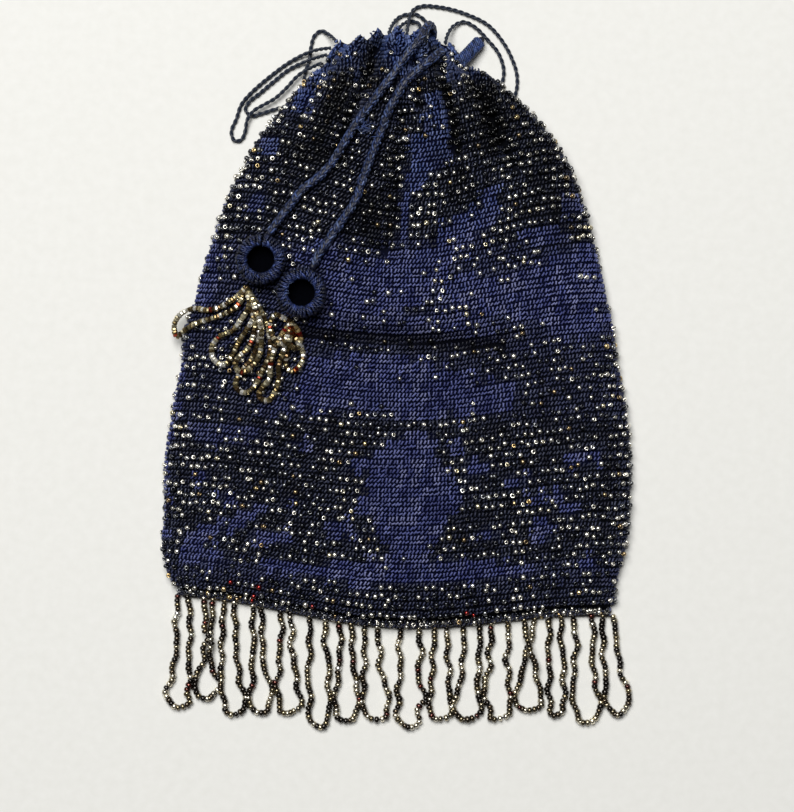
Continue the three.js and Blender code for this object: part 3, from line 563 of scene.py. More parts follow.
def bag_frame(up, turn, sink=0.0):
    """Places on the bag with the ways across, up and out of the cloth there."""
    step = 1e-3
    place = bag_place(up, turn, sink)
    across = bag_place(up, turn + step, sink) - bag_place(up, turn - step, sink)
    upwards = bag_place(np.minimum(up + step, MOUTH_LEVEL), turn, sink) - bag_place(up - step, turn, sink)
    across = across / np.linalg.norm(across, axis=-1, keepdims=True)
    out = np.cross(across, upwards)
    out = out / np.linalg.norm(out, axis=-1, keepdims=True)
    return place, across, np.cross(out, across), out


def front_height(x, y):
    """Height of the bag's front above one place, found by following the level line through it."""
    up = (y + HEM_BELOW_ORIGIN) / BAG_LENGTH
    turn = math.pi / 2
    for _ in range(12):
        half = float(eased(up, "half")) * HALF_WIDTH
        cos = math.cos(turn) - (x - bag_place(up, turn)[0]) / half
        turn = math.acos(np.clip(cos, -0.99, 0.99))
        up = up + (y - bag_place(up, turn)[1]) / BAG_LENGTH
        up = float(np.clip(up, HEM_LEVEL, MOUTH_LEVEL))
    return float(bag_place(up, turn)[2])


def smooth_route(points, step):
    """Points about one step apart on a centripetal curve through some points, both ends kept."""
    points = [np.array(p, float) for p in points]
    chain = [2 * points[0] - points[1], *points, 2 * points[-1] - points[-2]]
    fine = []
    for p0, p1, p2, p3 in zip(chain, chain[1:], chain[2:], chain[3:]):
        t0 = 0.0
        t1 = t0 + np.linalg.norm(p1 - p0) ** 0.5
        t2 = t1 + np.linalg.norm(p2 - p1) ** 0.5
        t3 = t2 + np.linalg.norm(p3 - p2) ** 0.5
        for t in np.linspace(t1, t2, 12, endpoint=False):
            a1 = (t1 - t) / (t1 - t0) * p0 + (t - t0) / (t1 - t0) * p1
            a2 = (t2 - t) / (t2 - t1) * p1 + (t - t1) / (t2 - t1) * p2
            a3 = (t3 - t) / (t3 - t2) * p2 + (t - t2) / (t3 - t2) * p3
            b1 = (t2 - t) / (t2 - t0) * a1 + (t - t0) / (t2 - t0) * a2
            b2 = (t3 - t) / (t3 - t1) * a2 + (t - t1) / (t3 - t1) * a3
            fine.append((t2 - t) / (t2 - t1) * b1 + (t - t1) / (t2 - t1) * b2)
    fine = np.array(fine + [points[-1]])
    gone = np.concatenate(([0], np.cumsum(np.linalg.norm(np.diff(fine, axis=0), axis=1))))
    count = max(2, round(gone[-1] / step) + 1)
    at = np.linspace(0, gone[-1], count)
    return np.stack([np.interp(at, gone, fine[:, i]) for i in range(3)], -1), gone[-1]


def route_frames(route):
    """The ways along, sideways and up at each point of a route, without sudden turns."""
    along = np.gradient(route, axis=0)
    along /= np.linalg.norm(along, axis=1, keepdims=True)
    side = np.cross(along, (0, 0, 1))
    side /= np.maximum(np.linalg.norm(side, axis=1, keepdims=True), 1e-6)
    return along, side, np.cross(side, along)


def linear(hex_colour, alpha=1.0):
    """An sRGB hex colour as linear light."""
    parts = [int(hex_colour[i:i + 2], 16) / 255 for i in (1, 3, 5)]
    return (*[c / 12.92 if c <= 0.04045 else ((c + 0.055) / 1.055) ** 2.4 for c in parts], alpha)


def add_node(tree, kind, inputs=None, **settings):
    """Adds a node with its settings and its inputs, given as values or as sockets to link."""
    made = tree.nodes.new(kind)
    for name, value in settings.items():
        setattr(made, name, value)
    for name, value in (inputs or {}).items():
        if isinstance(value, bpy.types.NodeSocket):
            tree.links.new(value, made.inputs[name])
        else:
            made.inputs[name].default_value = value
    return made


def finish_material(name, build):
    """A material whose Principled shader takes what build returns for its inputs."""
    material = bpy.data.materials.new(name)
    material.use_nodes = True
    tree = material.node_tree
    tree.nodes.clear()
    shader = add_node(tree, "ShaderNodeBsdfPrincipled", build(tree))
    add_node(tree, "ShaderNodeOutputMaterial", {"Surface": shader.outputs["BSDF"]})
    return material


# The colour sockets of the Mix node, which share their names with its other kinds of socket
MIX_A, MIX_B, MIX_RESULT = 6, 7, 2


def mercerised_cotton(tree):
    """Mercerised crochet cotton: navy yarn with a silky sheen, a soft pale glint on each stroke.

    Its fibres are drawn 0.9 mm long, far coarser than they are, so that they show at all.
    """
    tint = add_node(tree, "ShaderNodeAttribute", attribute_name="tint")
    place = add_node(tree, "ShaderNodeTexCoord").outputs["Object"]
    fibres = add_node(tree, "ShaderNodeTexNoise", {"Vector": place, "Scale": 1 / (0.9 * MM), "Detail": 3.0})
    darker = add_node(tree, "ShaderNodeHueSaturation", {"Color": tint.outputs["Color"], "Value": 0.45})
    colour = add_node(tree, "ShaderNodeMix", {
        "Factor": fibres.outputs["Fac"], MIX_A: darker.outputs["Color"], MIX_B: tint.outputs["Color"],
    }, data_type="RGBA")
    bump = add_node(tree, "ShaderNodeBump", {
        "Height": fibres.outputs["Fac"], "Strength": 0.5, "Distance": 0.2 * MM})
    return {"Base Color": colour.outputs[MIX_RESULT], "Roughness": 0.45, "Specular IOR Level": 0.45,
            "Normal": bump.outputs["Normal"]}


def shadowed_cotton(tree):
    """The same cotton deep between the stitches: nearly black, with no glint, as little light comes.

    It is mottled at 1.6 mm, half a stitch.
    """
    tint = add_node(tree, "ShaderNodeAttribute", attribute_name="tint")
    place = add_node(tree, "ShaderNodeTexCoord").outputs["Object"]
    loops = add_node(tree, "ShaderNodeTexNoise", {"Vector": place, "Scale": 1 / (1.6 * MM), "Detail": 4.0})
    colour = add_node(tree, "ShaderNodeMix", {
        "Factor": loops.outputs["Fac"], MIX_A: linear("#010207"), MIX_B: tint.outputs["Color"],
    }, data_type="RGBA")
    bump = add_node(tree, "ShaderNodeBump", {
        "Height": loops.outputs["Fac"], "Strength": 1.0, "Distance": 0.6 * MM})
    return {"Base Color": colour.outputs[MIX_RESULT], "Roughness": 0.9, "Specular IOR Level": 0.08,
            "Normal": bump.outputs["Normal"]}


def unlit_cotton(tree):
    """The crocheted inside of a cup, which no light reaches: the eye sees a plain dark hole."""
    place = add_node(tree, "ShaderNodeTexCoord").outputs["Object"]
    loops = add_node(tree, "ShaderNodeTexNoise", {"Vector": place, "Scale": 1 / (1.2 * MM), "Detail": 3.0})
    colour = add_node(tree, "ShaderNodeMix", {
        "Factor": loops.outputs["Fac"], MIX_A: linear("#000001"), MIX_B: linear("#04050a"),
    }, data_type="RGBA")
    return {"Base Color": colour.outputs[MIX_RESULT], "Roughness": 1.0, "Specular IOR Level": 0.02}


def lustre_glass(tree):
    """Dark seed beads with a fired metallic lustre: a sharp white spot, a dark body, a faint colour.

    The lustre is worn a little unevenly from bead to bead, over 1.3 mm.
    """
    tint = add_node(tree, "ShaderNodeAttribute", attribute_name="tint")
    place = add_node(tree, "ShaderNodeTexCoord").outputs["Object"]
    worn = add_node(tree, "ShaderNodeTexNoise", {"Vector": place, "Scale": 1 / (1.3 * MM), "Detail": 2.0})
    rough = add_node(tree, "ShaderNodeMapRange", {
        "Value": worn.outputs["Fac"], "To Min": 0.17, "To Max": 0.32})
    return {"Base Color": tint.outputs["Color"], "Metallic": 0.95, "Roughness": rough.outputs["Result"],
            "Coat Weight": 0.8, "Coat Roughness": 0.06}


def gilt_glass(tree):
    """Gilt cut beads: brass-coloured facets, bright where they face the light, some gone amber."""
    tint = add_node(tree, "ShaderNodeAttribute", attribute_name="tint")
    place = add_node(tree, "ShaderNodeTexCoord").outputs["Object"]
    worn = add_node(tree, "ShaderNodeTexNoise", {"Vector": place, "Scale": 1 / (0.9 * MM), "Detail": 2.0})
    rough = add_node(tree, "ShaderNodeMapRange", {
        "Value": worn.outputs["Fac"], "To Min": 0.16, "To Max": 0.36})
    return {"Base Color": tint.outputs["Color"], "Metallic": 0.85, "Roughness": rough.outputs["Result"]}


def waxed_thread(tree):
    """The dark waxed thread that the beads are strung on: a dull brown-black line between them."""
    place = add_node(tree, "ShaderNodeTexCoord").outputs["Object"]
    wear = add_node(tree, "ShaderNodeTexNoise", {"Vector": place, "Scale": 1 / (0.6 * MM)})
    colour = add_node(tree, "ShaderNodeMix", {
        "Factor": wear.outputs["Fac"], MIX_A: linear("#0e0c0c"), MIX_B: linear("#221c18"),
    }, data_type="RGBA")
    return {"Base Color": colour.outputs[MIX_RESULT], "Roughness": 0.6}


def pale_paper(tree):
    """Pale matt studio paper for the floor, with a faint 4 mm mottle."""
    place = add_node(tree, "ShaderNodeTexCoord").outputs["Object"]
    grain = add_node(tree, "ShaderNodeTexNoise", {"Vector": place, "Scale": 1 / (4 * MM)})
    colour = add_node(tree, "ShaderNodeMix", {
        "Factor": grain.outputs["Fac"], MIX_A: linear("#dddcd6"), MIX_B: linear("#e6e5e0"),
    }, data_type="RGBA")
    return {"Base Color": colour.outputs[MIX_RESULT], "Roughness": 0.9}


COTTON = finish_material("mercerised crochet cotton", mercerised_cotton)
SHADOWED = finish_material("crochet cotton in shadow", shadowed_cotton)
UNLIT = finish_material("crochet cotton out of the light", unlit_cotton)
LUSTRE = finish_material("iris lustre glass", lustre_glass)
GILT = finish_material("gilt cut glass", gilt_glass)
THREAD = finish_material("waxed thread", waxed_thread)
PAPER = finish_material("pale paper", pale_paper)


def mesh_of(bm, name, smooth=True):
    """A mesh from a finished bmesh, all its faces smooth unless they keep what they have."""
    if smooth:
        for face in bm.faces:
            face.smooth = True
    mesh = bpy.data.meshes.new(name)
    bm.to_mesh(mesh)
    bm.free()
    return mesh


def shape_of(bm):
    """A small shape's corners, and the corners of its faces in one row with each face's start."""
    bmesh.ops.recalc_face_normals(bm, faces=bm.faces)
    bm.verts.index_update()
    corners = np.array([vert.co[:] for vert in bm.verts])
    loops = np.array([vert.index for face in bm.faces for vert in face.verts])
    sizes = np.array([len(face.verts) for face in bm.faces])
    bm.free()
    return corners, loops, np.concatenate(([0], np.cumsum(sizes)[:-1]))


def yarn_dash(sides, rings):
    """A short stretch of yarn between two dips, bent like an S, one unit long each way along X."""
    bend = 0.75
    bm = bmesh.new()
    bmesh.ops.create_uvsphere(bm, u_segments=sides, v_segments=rings, radius=1)
    bmesh.ops.rotate(bm, verts=bm.verts, matrix=Matrix.Rotation(math.pi / 2, 3, "Y"))
    for vert in bm.verts:
        vert.co.y += bend * math.sin(math.pi * vert.co.x)
    return shape_of(bm)


def bead(section, sides):
    """A bead of one unit radius round Z from the points of its section."""
    bm = bmesh.new()
    ring = [bm.verts.new((radius, 0, height)) for radius, height in section]
    edges = [bm.edges.new(pair) for pair in zip(ring, ring[1:] + ring[:1])]
    bmesh.ops.spin(bm, geom=ring + edges, cent=(0, 0, 0), axis=(0, 0, 1), angle=TAU, steps=sides,
                   use_merge=True)
    bmesh.ops.remove_doubles(bm, verts=bm.verts, dist=1e-4)
    return shape_of(bm)


DASH = yarn_dash(5, 4)
SHORT_DASH = yarn_dash(4, 3)
SEED_BEAD = bead(SEED_SECTION, 8)
CUT_BEAD = bead(CUT_SECTION, 7)


def paint(mesh, tints):
    """Writes one tint for each corner point of a mesh."""
    layer = mesh.attributes.new("tint", "FLOAT_COLOR", "POINT")
    layer.data.foreach_set("color", np.asarray(tints, np.float32).ravel())


def paint_all(mesh, colour):
    """Writes one colour on a whole mesh."""
    paint(mesh, np.tile(linear(colour), (len(mesh.vertices), 1)))


def new_piece(name, mesh, material):
    """A finished mesh as a piece that rides with the purse."""
    piece = bpy.data.objects.new(name, mesh)
    bpy.context.scene.collection.objects.link(piece)
    mesh.materials.clear()
    mesh.materials.append(material)
    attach(piece, "root")
    return piece


def strewn(name, shape, places, ways, sizes, tints, smooth=True):
    """One mesh of many copies of a shape, each with its place, its three ways and sizes, its tint."""
    corners, loops, starts = shape
    count = len(places)
    # each copy's corners are stretched, turned and then moved
    spread = np.einsum("nij,nkj->nki", ways, corners[None] * sizes[:, None, :]) + places[:, None, :]
    mesh = bpy.data.meshes.new(name)
    mesh.vertices.add(count * len(corners))
    mesh.vertices.foreach_set("co", (spread * MM).astype(np.float32).ravel())
    shift = np.arange(count)[:, None]
    mesh.loops.add(count * len(loops))
    mesh.loops.foreach_set("vertex_index", (loops[None] + shift * len(corners)).astype(np.int32).ravel())
    mesh.polygons.add(count * len(starts))
    mesh.polygons.foreach_set("loop_start", (starts[None] + shift * len(loops)).astype(np.int32).ravel())
    mesh.update(calc_edges=True)
    mesh.polygons.foreach_set("use_smooth", np.full(count * len(starts), smooth))
    paint(mesh, np.repeat(tints, len(corners), axis=0))
    return mesh


def swept(name, route, radii, sides):
    """A tube along a route in millimetres, with a radius for each point and closed ends."""
    along, side, rise = route_frames(route)
    bm = bmesh.new()
    rings = []
    for i, place in enumerate(route):
        ring = []
        for k in range(sides):
            turn = TAU * k / sides
            offset = radii[i] * (math.cos(turn) * side[i] + math.sin(turn) * rise[i])
            ring.append(bm.verts.new((place + offset) * MM))
        rings.append(ring)
    for low, high in zip(rings, rings[1:]):
        for k in range(sides):
            bm.faces.new((low[k], low[(k + 1) % sides], high[(k + 1) % sides], high[k]))
    bm.faces.new(rings[0])
    bm.faces.new(rings[-1])
    bmesh.ops.recalc_face_normals(bm, faces=bm.faces)
    return mesh_of(bm, name)


def joined_meshes(name, meshes):
    """Several meshes as one, their tints kept."""
    bm = bmesh.new()
    for mesh in meshes:
        bm.from_mesh(mesh)
    joined = mesh_of(bm, name, smooth=False)
    for mesh in meshes:
        bpy.data.meshes.remove(mesh)
    return joined


def turned(ways, angles):
    """Ways turned in the plane of the first two by some angles."""
    cos, sin = np.cos(angles)[:, None], np.sin(angles)[:, None]
    first = ways[:, :, 0] * cos + ways[:, :, 1] * sin
    second = ways[:, :, 1] * cos - ways[:, :, 0] * sin
    return np.stack((first, second, ways[:, :, 2]), -1)


def tipped(ways, angles):
    """Ways tipped in the plane of the first and the third by some angles."""
    cos, sin = np.cos(angles)[:, None], np.sin(angles)[:, None]
    first = ways[:, :, 0] * cos + ways[:, :, 2] * sin
    third = ways[:, :, 2] * cos - ways[:, :, 0] * sin
    return np.stack((first, ways[:, :, 1], third), -1)


def palette(colours, count, draw, spread):
    """Some colours drawn by their shares, each a little lighter or darker."""
    table = np.array([linear(colour) for colour, _ in colours])
    shares = np.array([share for _, share in colours])
    picked = table[draw.choice(len(colours), count, p=shares / sum(shares))]
    picked[:, :3] *= np.exp(draw.normal(0, spread, (count, 1)))
    return picked


def look_down():
    """The camera, straight above the purse as in the photo, and at the photo's scale."""
    data = bpy.data.cameras.new("camera")
    data.sensor_width = SENSOR
    data.lens = data.sensor_width * CAMERA_HEIGHT / (IMAGE_HEIGHT * PIXEL)
    camera = bpy.data.objects.new("camera", data)
    camera.location = (VIEW_CENTRE[0] * MM, VIEW_CENTRE[1] * MM, (CAMERA_HEIGHT + EDGE_HEIGHT) * MM)
    bpy.context.scene.collection.objects.link(camera)
    bpy.context.scene.camera = camera


def studio():
    """A plain pale floor, one softbox above it and a faint even light from all round."""
    bm = bmesh.new()
    bmesh.ops.create_grid(bm, x_segments=1, y_segments=1, size=FLOOR_HALF)
    bmesh.ops.translate(bm, verts=bm.verts, vec=(0, 0, -FLOOR_BELOW * MM))
    mesh = mesh_of(bm, "floor", smooth=False)
    floor = bpy.data.objects.new("floor", mesh)
    bpy.context.scene.collection.objects.link(floor)
    mesh.materials.append(PAPER)

    data = bpy.data.lights.new("softbox_above", "AREA")
    data.size = SOFTBOX_SIZE
    data.energy = SOFTBOX_WATTS
    light = bpy.data.objects.new("softbox_above", data)
    light.location = SOFTBOX_PLACE
    light.rotation_euler = (-Vector(SOFTBOX_PLACE)).to_track_quat("-Z", "Y").to_euler()
    bpy.context.scene.collection.objects.link(light)

    world = bpy.data.worlds.new("world")
    world.use_nodes = True
    background = world.node_tree.nodes["Background"]
    background.inputs["Color"].default_value = linear("#f4f6fb")
    background.inputs["Strength"].default_value = ROOM_LIGHT
    bpy.context.scene.world = world
    bpy.context.scene.view_settings.view_transform = "Standard"


def twisted_cord(name):
    """A thin handle cord: two plies of dark cotton laid round each other."""
    twist = 5.2
    ply_radius = 0.27 * HANDLE_CORD
    out = HANDLE_CORD / 2 - ply_radius
    route, length = smooth_route(ROUTES[name], 0.65)
    _, side, rise = route_frames(route)
    gone = np.linspace(0, length, len(route))
    plies = []
    for start in (0, math.pi):
        turn = TAU * gone / twist + start
        ply = route + out * (np.cos(turn)[:, None] * side + np.sin(turn)[:, None] * rise)
        plies.append(swept("ply", ply, np.full(len(ply), ply_radius), 6))
    mesh = joined_meshes(name, plies)
    paint_all(mesh, HANDLE_CORD_COLOUR)
    piece = new_piece(f"twisted_{name}", mesh, COTTON)
    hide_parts(name)


def crocheted_cord(name, draw):
    """A drawcord: a round core and a skin of slanted chain stitches."""
    core_under, stitches_under = 0.36, 0.55
    stitch, columns, slant = 2.3, 6, 0.5
    thickness, height = 0.5, 0.62
    route, length = smooth_route(ROUTES[name], 0.9)
    core = swept("core", route, np.full(len(route), DRAWCORD / 2 - core_under), 8)
    paint_all(core, CORE_COLOUR)
    along, side, rise = route_frames(route)
    places, ways, slants = [], [], []
    for k in range(int(length / stitch)):
        for column in range(columns):
            at = (k + 0.5 + 0.5 * (column % 2)) * stitch / length * (len(route) - 1)
            i = min(int(at), len(route) - 1)
            turn = TAU * column / columns
            out = math.cos(turn) * side[i] + math.sin(turn) * rise[i]
            places.append(route[i] + (DRAWCORD / 2 - stitches_under) * out)
            ways.append(np.stack((along[i], np.cross(out, along[i]), out), -1))
            slants.append(slant if column % 2 else -slant)
    count = len(places)
    ways = turned(np.array(ways), np.array(slants) + draw.normal(0, 0.2, count))
    sizes = np.tile((0.6 * stitch, thickness, height), (count, 1)) * draw.normal(1, 0.12, (count, 1))
    tints = palette(CORD_COLOURS, count, draw, 0.2)
    stitches = strewn("stitches", DASH, np.array(places), ways, sizes, tints)
    mesh = joined_meshes(name, [core, stitches])
    piece = new_piece(f"crocheted_{name}", mesh, COTTON)
    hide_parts(name)


def in_pixels(x, y):
    """Places on the table in the chart's pixels, across and down."""
    return ORIGIN_PIXEL[0] + x / PIXEL, ORIGIN_PIXEL[1] - y / PIXEL


def inside(outline, x, y):
    """Which of some places lie inside an outline."""
    hit = np.zeros(np.shape(x), bool)
    for (x0, y0), (x1, y1) in zip(outline, outline[1:] + outline[:1]):
        if y0 != y1:
            crossing = (y0 > y) != (y1 > y)
            hit ^= crossing & (x < (x1 - x0) * (y - y0) / (y1 - y0) + x0)
    return hit


def near_line(line, across, down):
    """How far some places lie from a line, all in pixels."""
    near = np.full(np.shape(across), np.inf)
    for (x0, y0), (x1, y1) in zip(line, line[1:]):
        span = (x1 - x0) ** 2 + (y1 - y0) ** 2
        part = np.clip(((across - x0) * (x1 - x0) + (down - y0) * (y1 - y0)) / span, 0, 1)
        near = np.minimum(near, np.hypot(across - x0 - part * (x1 - x0), down - y0 - part * (y1 - y0)))
    return near


def bead_share(x, y):
    """The share of stitches that carry a bead at places on the front, as the pattern is charted."""
    across, down = in_pixels(x, y)
    share = np.zeros_like(x)
    for top, bottom, dense in BEADED_BANDS:
        share[(down >= top) & (down < bottom)] = dense
    for dense, outline in PLAIN_AREAS:
        share[inside(outline, across, down)] = dense
    return share


def on_bright_line(x, y):
    """Which places lie on a line of the pattern that is worked in brighter beads."""
    across, down = in_pixels(x, y)
    near = np.min([near_line(line, across, down) for line in BRIGHT_LINES], axis=0)
    return near < 0.6 * STITCH / PIXEL


def lightness(x, y):
    """How much light the pleats and creases of the front leave at some places, at most 1."""
    across, down = in_pixels(x, y)
    dark = np.zeros(np.shape(x))
    for line, wide, deep in SHADES:
        dark = np.maximum(dark, deep * np.exp(-((near_line(line, across, down) / wide) ** 2)))
    return 1 - dark


def cloth_shell():
    """The crocheted cloth itself: outside, over the mouth's edge and down the inside, closed."""
    around, rows, inner_rows = 96, 90, 24
    hem_rows, hem_to = 6, 0.03
    inside_reach = 0.93
    seam_height, seam_below = BODY_THICKNESS * 0.13, 0.6
    levels = np.concatenate((
        np.linspace(HEM_LEVEL, hem_to, hem_rows, endpoint=False),
        np.linspace(hem_to, MOUTH_LEVEL, rows - hem_rows)))
    bm = bmesh.new()
    bmesh.ops.create_grid(bm, x_segments=around, y_segments=rows + inner_rows, size=0.5)
    vertices = np.array([vert.co[:2] for vert in bm.verts])
    column = (vertices[:, 0] + 0.5) * around
    row = np.round((vertices[:, 1] + 0.5) * (rows + inner_rows)).astype(int)
    turn = TAU * column / around
    outer = row < rows
    up = np.where(outer, levels[np.clip(row, 0, rows - 1)],
                  MOUTH_LEVEL - (row - rows) / inner_rows * inside_reach)
    places = bag_place(up, turn, np.where(outer, CLOTH_SINK, CLOTH_SINK + GATHERED_WALL))
    # below the first row the cloth closes in one line along the hem
    for i in np.where(row == 0)[0]:
        seam = bag_place(HEM_LEVEL, turn[i], CLOTH_SINK)
        places[i] = (seam[0], seam[1] - seam_below, seam_height)
    for vert, place in zip(bm.verts, places):
        vert.co = Vector(place) * MM
    bmesh.ops.remove_doubles(bm, verts=bm.verts, dist=0.02 * MM)
    bmesh.ops.holes_fill(bm, edges=[edge for edge in bm.edges if edge.is_boundary], sides=0)
    bmesh.ops.recalc_face_normals(bm, faces=bm.faces)
    mesh = mesh_of(bm, "cloth")
    corners = np.array([vert.co[:] for vert in mesh.vertices]) / MM
    # the ground is painted nearly black as the shade between the stitches, blacker where they carry beads,
    # and darker in the painted shade of the pleats
    share = np.clip(1.2 * bead_share(corners[:, 0], corners[:, 1]), 0, 1)[:, None]
    tints = np.array(linear(PLAIN_GROUND)) * (1 - share) + np.array(linear(BEADED_GROUND)) * share
    tints[:, :3] *= lightness(corners[:, 0], corners[:, 1])[:, None]
    paint(mesh, tints)
    piece = new_piece("cloth", mesh, SHADOWED)
    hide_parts("bag")


def stitch_places(front):
    """Each stitch of the crochet: its level and its turn, in rows with every second one set over."""
    first, last = -0.004, 0.997
    fine = 400
    rows = round((last - first) * BAG_LENGTH / ROW)
    ups, turns = [], []
    for row in range(rows):
        up = first + (row + 0.5) / rows * (last - first)
        samples = np.linspace(0, math.pi, fine) + (0 if front else math.pi)
        line = bag_place(np.full(fine, up), samples)
        gone = np.concatenate(([0], np.cumsum(np.linalg.norm(np.diff(line, axis=0), axis=1))))
        count = max(3, round(gone[-1] / STITCH))
        at = (np.arange(count) + 0.25 + 0.5 * (row % 2)) / count * gone[-1]
        turns.append(np.interp(at, gone, samples))
        ups.append(np.full(count, up))
    return np.concatenate(ups), np.concatenate(turns)


def edge_proud(turns, at_edge, on_face):
    """How far something stands out of the cloth, less so where the bag turns under."""
    face = np.clip(3 * np.abs(np.sin(turns)), 0, 1)
    return (at_edge + (on_face - at_edge) * face)[:, None]


def crochet(name, ups, turns, draw):
    """The strokes of yarn of some stitches: a leaning pair above and a flatter one below."""
    yarn_at_edge, yarn_on_face = -1.0, -0.35
    off_table = YARN_HALF + 0.15
    count = len(ups)
    place, across, upwards, out = bag_frame(ups, turns)
    ways = np.stack((across, upwards, out), -1)
    jitter = draw.normal(0, 0.12, (count, 3))
    front = turns[0] < math.pi
    near = place[:, :2] + draw.normal(0, 1.2, (count, 2))
    share = bead_share(near[:, 0], near[:, 1]) if front else np.full(count, 0.5)
    plain = palette(PLAIN_COTTON, count, draw, 0.1)
    neck = palette(NECK_COTTON, count, draw, 0.14)
    # up to the neck the light falls more and more along the yarn and shows it bluer
    bluer = np.clip((ups - 0.55) / 0.4, 0, 1)[:, None]
    plain = plain * (1 - bluer) + neck * bluer
    # where the stitches carry beads the yarn takes darker tints, painted shade of the beads over it
    dark = palette(BEADED_COTTON, count, draw, 0.12)
    blend = np.clip(1.3 * share - 0.1, 0, 1)[:, None]
    tints = plain * (1 - blend) + dark * blend
    light = lightness(place[:, 0], place[:, 1]) if front else np.ones(count)
    tints[:, :3] *= light[:, None]
    proud = edge_proud(turns, yarn_at_edge, yarn_on_face) - (FOLD_SINK * (1 - light))[:, None]
    # in the frill the strokes are shorter and plumper, in the folds a little smaller
    plump = 1 + 0.4 * np.clip((ups - 0.8) / 0.1, 0, 1)
    thin = 1 - FOLD_THINS * (1 - light)
    meshes = []
    for lean, aside, above, long, thick in FRONT_STROKES if front else BACK_STROKES:
        spot = place + (above + jitter[:, :1]) * upwards + (jitter[:, 1:2] + proud) * out
        spot += (aside * STITCH + draw.normal(0, 0.12, (count, 1))) * across
        slant = turned(ways, lean + draw.normal(0, 0.2, count))
        if not front:
            reach = STITCH * long * np.abs(slant[:, 2, 0])
            spot[:, 2] = np.maximum(spot[:, 2], off_table + reach)
        sizes = np.stack((STITCH * long * draw.normal(1, 0.13, count) / plump * thin,
                          YARN_HALF * thick * draw.normal(1, 0.13, count) * plump * thin,
                          YARN_HALF * thick * draw.normal(1, 0.1, count) * plump * thin), -1)
        meshes.append(strewn(name, SHORT_DASH, spot, slant, sizes, tints))
    new_piece(name, joined_meshes(name, meshes), COTTON)


def distance_to_route(route, x, y):
    """How far some places lie from a route as seen from above."""
    near = np.full(np.shape(x), np.inf)
    for place in route:
        near = np.minimum(near, np.hypot(x - place[0], y - place[1]))
    return near


def clear_of_cords(x, y, reach):
    """Places that no drawcord lies on."""
    clear = np.ones(len(x), bool)
    for name in ("drawcord_left", "drawcord_right"):
        route, _ = smooth_route(ROUTES[name], 1.0)
        clear &= distance_to_route(route, x, y) > reach
    return clear


def seed_beads(name, ups, turns, draw, share, bright):
    """Seed beads in the middle of their stitches, most of them threaded along the row."""
    bead_at_edge, bead_on_face = -0.4, 0.8
    off_table = BEAD / 2 + 0.4
    turned_out = 0.2
    keep = draw.random(len(ups)) < share
    ups, turns, bright = ups[keep], turns[keep], bright[keep]
    place, across, upwards, out = bag_frame(ups, turns)
    count = len(ups)
    spot = place + draw.normal(0, 0.42, (count, 1)) * across + draw.normal(0.1, 0.5, (count, 1)) * upwards
    spot += (edge_proud(turns, bead_at_edge, bead_on_face) + draw.normal(0, 0.12, (count, 1))) * out
    front = turns[0] < math.pi
    if not front:
        spot[:, 2] = np.maximum(spot[:, 2], off_table)
    # the hole runs along the row, and some beads have turned to face outwards
    facing = np.where(draw.random(count) < turned_out,
                      draw.normal(1.35, 0.2, count), draw.normal(0.1, 0.25, count))
    ways = tipped(np.stack((out, upwards, -across), -1), facing)
    ways = turned(ways, draw.uniform(0, TAU, count))
    ways = turned(ways, draw.normal(0, 0.3, count))
    radius = BEAD / 2 * draw.normal(1, 0.08, count)
    sizes = np.stack((radius, radius, radius * draw.normal(1.05, 0.1, count)), -1)
    tints = palette(SEED_COLOURS, count, draw, 0.2)
    tints[bright] = palette(BRIGHT_COLOURS, int(bright.sum()), draw, 0.1)
    if front:
        tints[:, :3] *= lightness(spot[:, 0], spot[:, 1])[:, None] ** 1.4
        pixel_across, pixel_down = in_pixels(spot[:, 0], spot[:, 1])
        for red_across, red_down in RED_BEADS:
            near = np.hypot(pixel_across - red_across, pixel_down - red_down) < RED_REACH
            tints[near] = linear(RED_COLOUR)
    new_piece(name, strewn(name, SEED_BEAD, spot, ways, sizes, tints), LUSTRE)


def worked_cloth(draw):
    """The stitches of front and back, in two pieces each, and the seed beads on them."""
    worked = {"front": stitch_places(True), "back": stitch_places(False)}
    for side, (ups, turns) in worked.items():
        low = ups < SPLIT_LEVEL
        crochet(f"crochet_{side}_lower", ups[low], turns[low], draw)
        crochet(f"crochet_{side}_upper", ups[~low], turns[~low], draw)
    ups, turns = worked["front"]
    spots = bag_place(ups, turns)
    share = bead_share(spots[:, 0], spots[:, 1])
    share[~clear_of_cords(spots[:, 0], spots[:, 1], CLEAR_OF_CORD)] = 0
    for x, y in CUPS.values():
        share[np.hypot(spots[:, 0] - x, spots[:, 1] - y) < CLEAR_OF_CUP] = 0
    bright = on_bright_line(spots[:, 0], spots[:, 1])
    seed_beads("seed_beads_front", ups, turns, draw, np.where(bright & (share > 0), 1, share), bright)
    ups, turns = worked["back"]
    seed_beads("seed_beads_back", ups, turns, draw, np.full(len(ups), BACK_SHARE), np.zeros(len(ups), bool))


